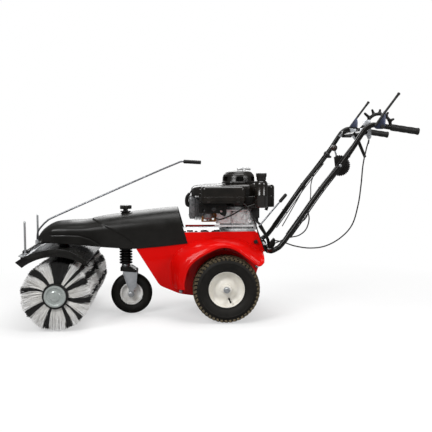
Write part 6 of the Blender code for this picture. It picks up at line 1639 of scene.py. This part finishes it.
# ------------------------------------------------------------ levers and bracket
def build_levers():
    face = HALF_HANDLE + TUBE_RADIUS + CLEARANCE
    for side, suffix in ((-1, "left"), (1, "right")):
        cheek = plate("lever_cheek", rounded([(0.706, 0.950), (0.718, 0.940), (0.752, 0.940),
                                              (0.762, 0.950), (0.764, 1.000), (0.757, 1.030)],
                                             0.006), -face - 0.004, -face, edge=0.0008)
        arm_y = -face - 0.004 - 0.0045 + 0.001
        arm = tube("lever_arm", [(0.7115, arm_y, 0.955), (0.735, arm_y, 0.989),
                                 (0.759, arm_y, 1.022), (0.790, arm_y, 1.0637),
                                 (0.820, arm_y, 1.104)], 0.0058, 0.008, 5)
        bolt = turned("lever_bolt", [(0, 0.0003), (0.0105, 0.0003), (0.0105, 0.0060),
                                     (0.0095, 0.0068), (0, 0.0068)],
                      (LEVER_PIVOT[0], -face - 0.0040 + 0.0003, LEVER_PIVOT[1]), (0, -1, 0), 6)
        for piece, finish, word in ((cheek, BLUE_STEEL, "cheek"),
                                    (joined([arm, bolt]), STEEL, "arm")):
            if side > 0:
                other = mirrored(piece, piece.name)
                bpy.data.objects.remove(piece)
                piece = other
            piece.name = f"lever_{word}_{suffix}"
            fit(piece, finish, f"clutch_{suffix}", "blue_steel")
            if word == "cheek":
                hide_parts(f"clutch_lever_{suffix}")
        end = turned(f"lever_end_{suffix}", [
            (0, -0.022), (0.0052, -0.022), (0.0062, -0.018), (0.0062, -0.002), (0.0074, 0.002),
            (0.0078, 0.006), (0.0060, 0.0095), (0.0025, 0.0108), (0, 0.0110)],
            (0.820, side * (face + 0.0075), 1.104), (0.061, 0, 0.082), 32)
        fit(end, SOFT_RUBBER, f"clutch_{suffix}", "grip_rubber")

    face = -HALF_HANDLE + TUBE_RADIUS + CLEARANCE
    stem_y = face + 0.014 + CLEARANCE
    pin = bar("quadrant_pin", 0.0059, face + 0.0005, stem_y + 0.004, (QUADRANT[0], 0, QUADRANT[1]),
              (0, 1, 0))
    stem = plate("speed_stem", rounded([(0.550, 0.757), (0.566, 0.760), (0.5315, 0.846),
                                        (0.5235, 0.844)], 0.003), stem_y, stem_y + 0.0048,
                 edge=0.0006)
    nut = turned("pin_nut", [(0, 0.004), (0.0085, 0.004), (0.0085, 0.0105), (0, 0.0110)],
                 (QUADRANT[0], stem_y, QUADRANT[1]), (0, 1, 0), 6)
    fit(joined([pin, stem, nut]), ZINC, "speed", "zinc", "speed_lever")
    ball = turned("speed_ball", [
        (0, -0.0142), (0.0062, -0.0140), (0.0085, -0.0128), (0.0125, -0.0095), (0.0152, -0.0050),
        (0.0168, 0.0005), (0.0160, 0.0055), (0.0135, 0.0095), (0.0095, 0.0125), (0.0050, 0.0142),
        (0, 0.0146)], (0.525, stem_y + 0.0025, 0.850), (-0.35, 0, 1), 48)
    fit(ball, BALL, "speed", "black_plastic")

    y0, y1 = RELEASE_Y - 0.0024, RELEASE_Y + 0.0024
    hub = turned("release_hub", [(0.0132, y0), (0.019, y0), (0.019, y1), (0.0132, y1),
                                 (0.0132, y0)],
                 (HANDLE_BASE[0], 0, HANDLE_BASE[1]), (0, 1, 0), 48)
    strip = plate("release_strip", rounded([
        (0.2105, 0.364), (0.2245, 0.362), (0.2215, 0.395), (0.204, 0.432), (0.182, 0.472),
        (0.170, 0.474), (0.164, 0.462), (0.190, 0.425), (0.206, 0.392)], 0.004), y0, y1,
        edge=0.0006)
    rod = tube("release_rod", in_plane([(0.172, 0.467), (0.2665, 0.579), (0.2775, 0.592)],
                                       RELEASE_Y), 0.004, 0.01, 4)
    fit(joined([hub, strip]), TUBE_BLACK, "release", "black_paint")
    fit(rod, ROD_STEEL, "release", "zinc", "release_lever")
    grip = turned("release_grip", [(0, 0), (0.0068, 0.0005), (0.0082, 0.004), (0.0085, 0.010),
                                   (0.0085, 0.044), (0.0078, 0.049), (0.0045, 0.0518), (0, 0.052)],
                  (0.2705, RELEASE_Y, 0.5837), (0.0945, 0, 0.112), 32)
    fit(grip, SOFT_RUBBER, "release", "grip_rubber")


def beside(a, b, share, gap):
    """Point along the line from a to b, moved off it by gap on the side away from the body."""
    a, b = Vector(a), Vector(b)
    run = (b - a).normalized()
    return tuple(a.lerp(b, share) + Vector((-run.y, run.x)) * gap)


def build_bracket():
    base_x, base_z = HANDLE_BASE
    inner = [beside(PANEL_TOP, PANEL_KNEE, share, CLEARANCE) for share in (0.30, 0.985)]
    outer = [beside(PANEL_TOP, PANEL_KNEE, share, SHEET) for share in (0.985, 0.30)]
    backing = plate("saddle_plate", inner + outer, -0.132, 0.132, edge=0.0005)
    shape = [beside(PANEL_TOP, PANEL_KNEE, 0.70, 0.0015),
             beside(PANEL_TOP, PANEL_KNEE, 0.985, 0.0015), (base_x, base_z - 0.0198),
             *arc(HANDLE_BASE, 0.0198, -80, 100, 20)]
    saddles = []
    for y in (-0.105, 0.105):
        saddle = plate("saddle", shape, y - 0.014, y + 0.014, edge=0.0008)
        bore = bar("saddle_bore", 0.0129, -0.2, 0.2, (base_x, 0, base_z), (0, 1, 0), steps=48)
        saddles.append(cut(saddle, bore))
    fit(joined([backing, *saddles]), TUBE_BLACK, "chassis", "black_paint", "handle_bracket")


build_levers()
build_bracket()
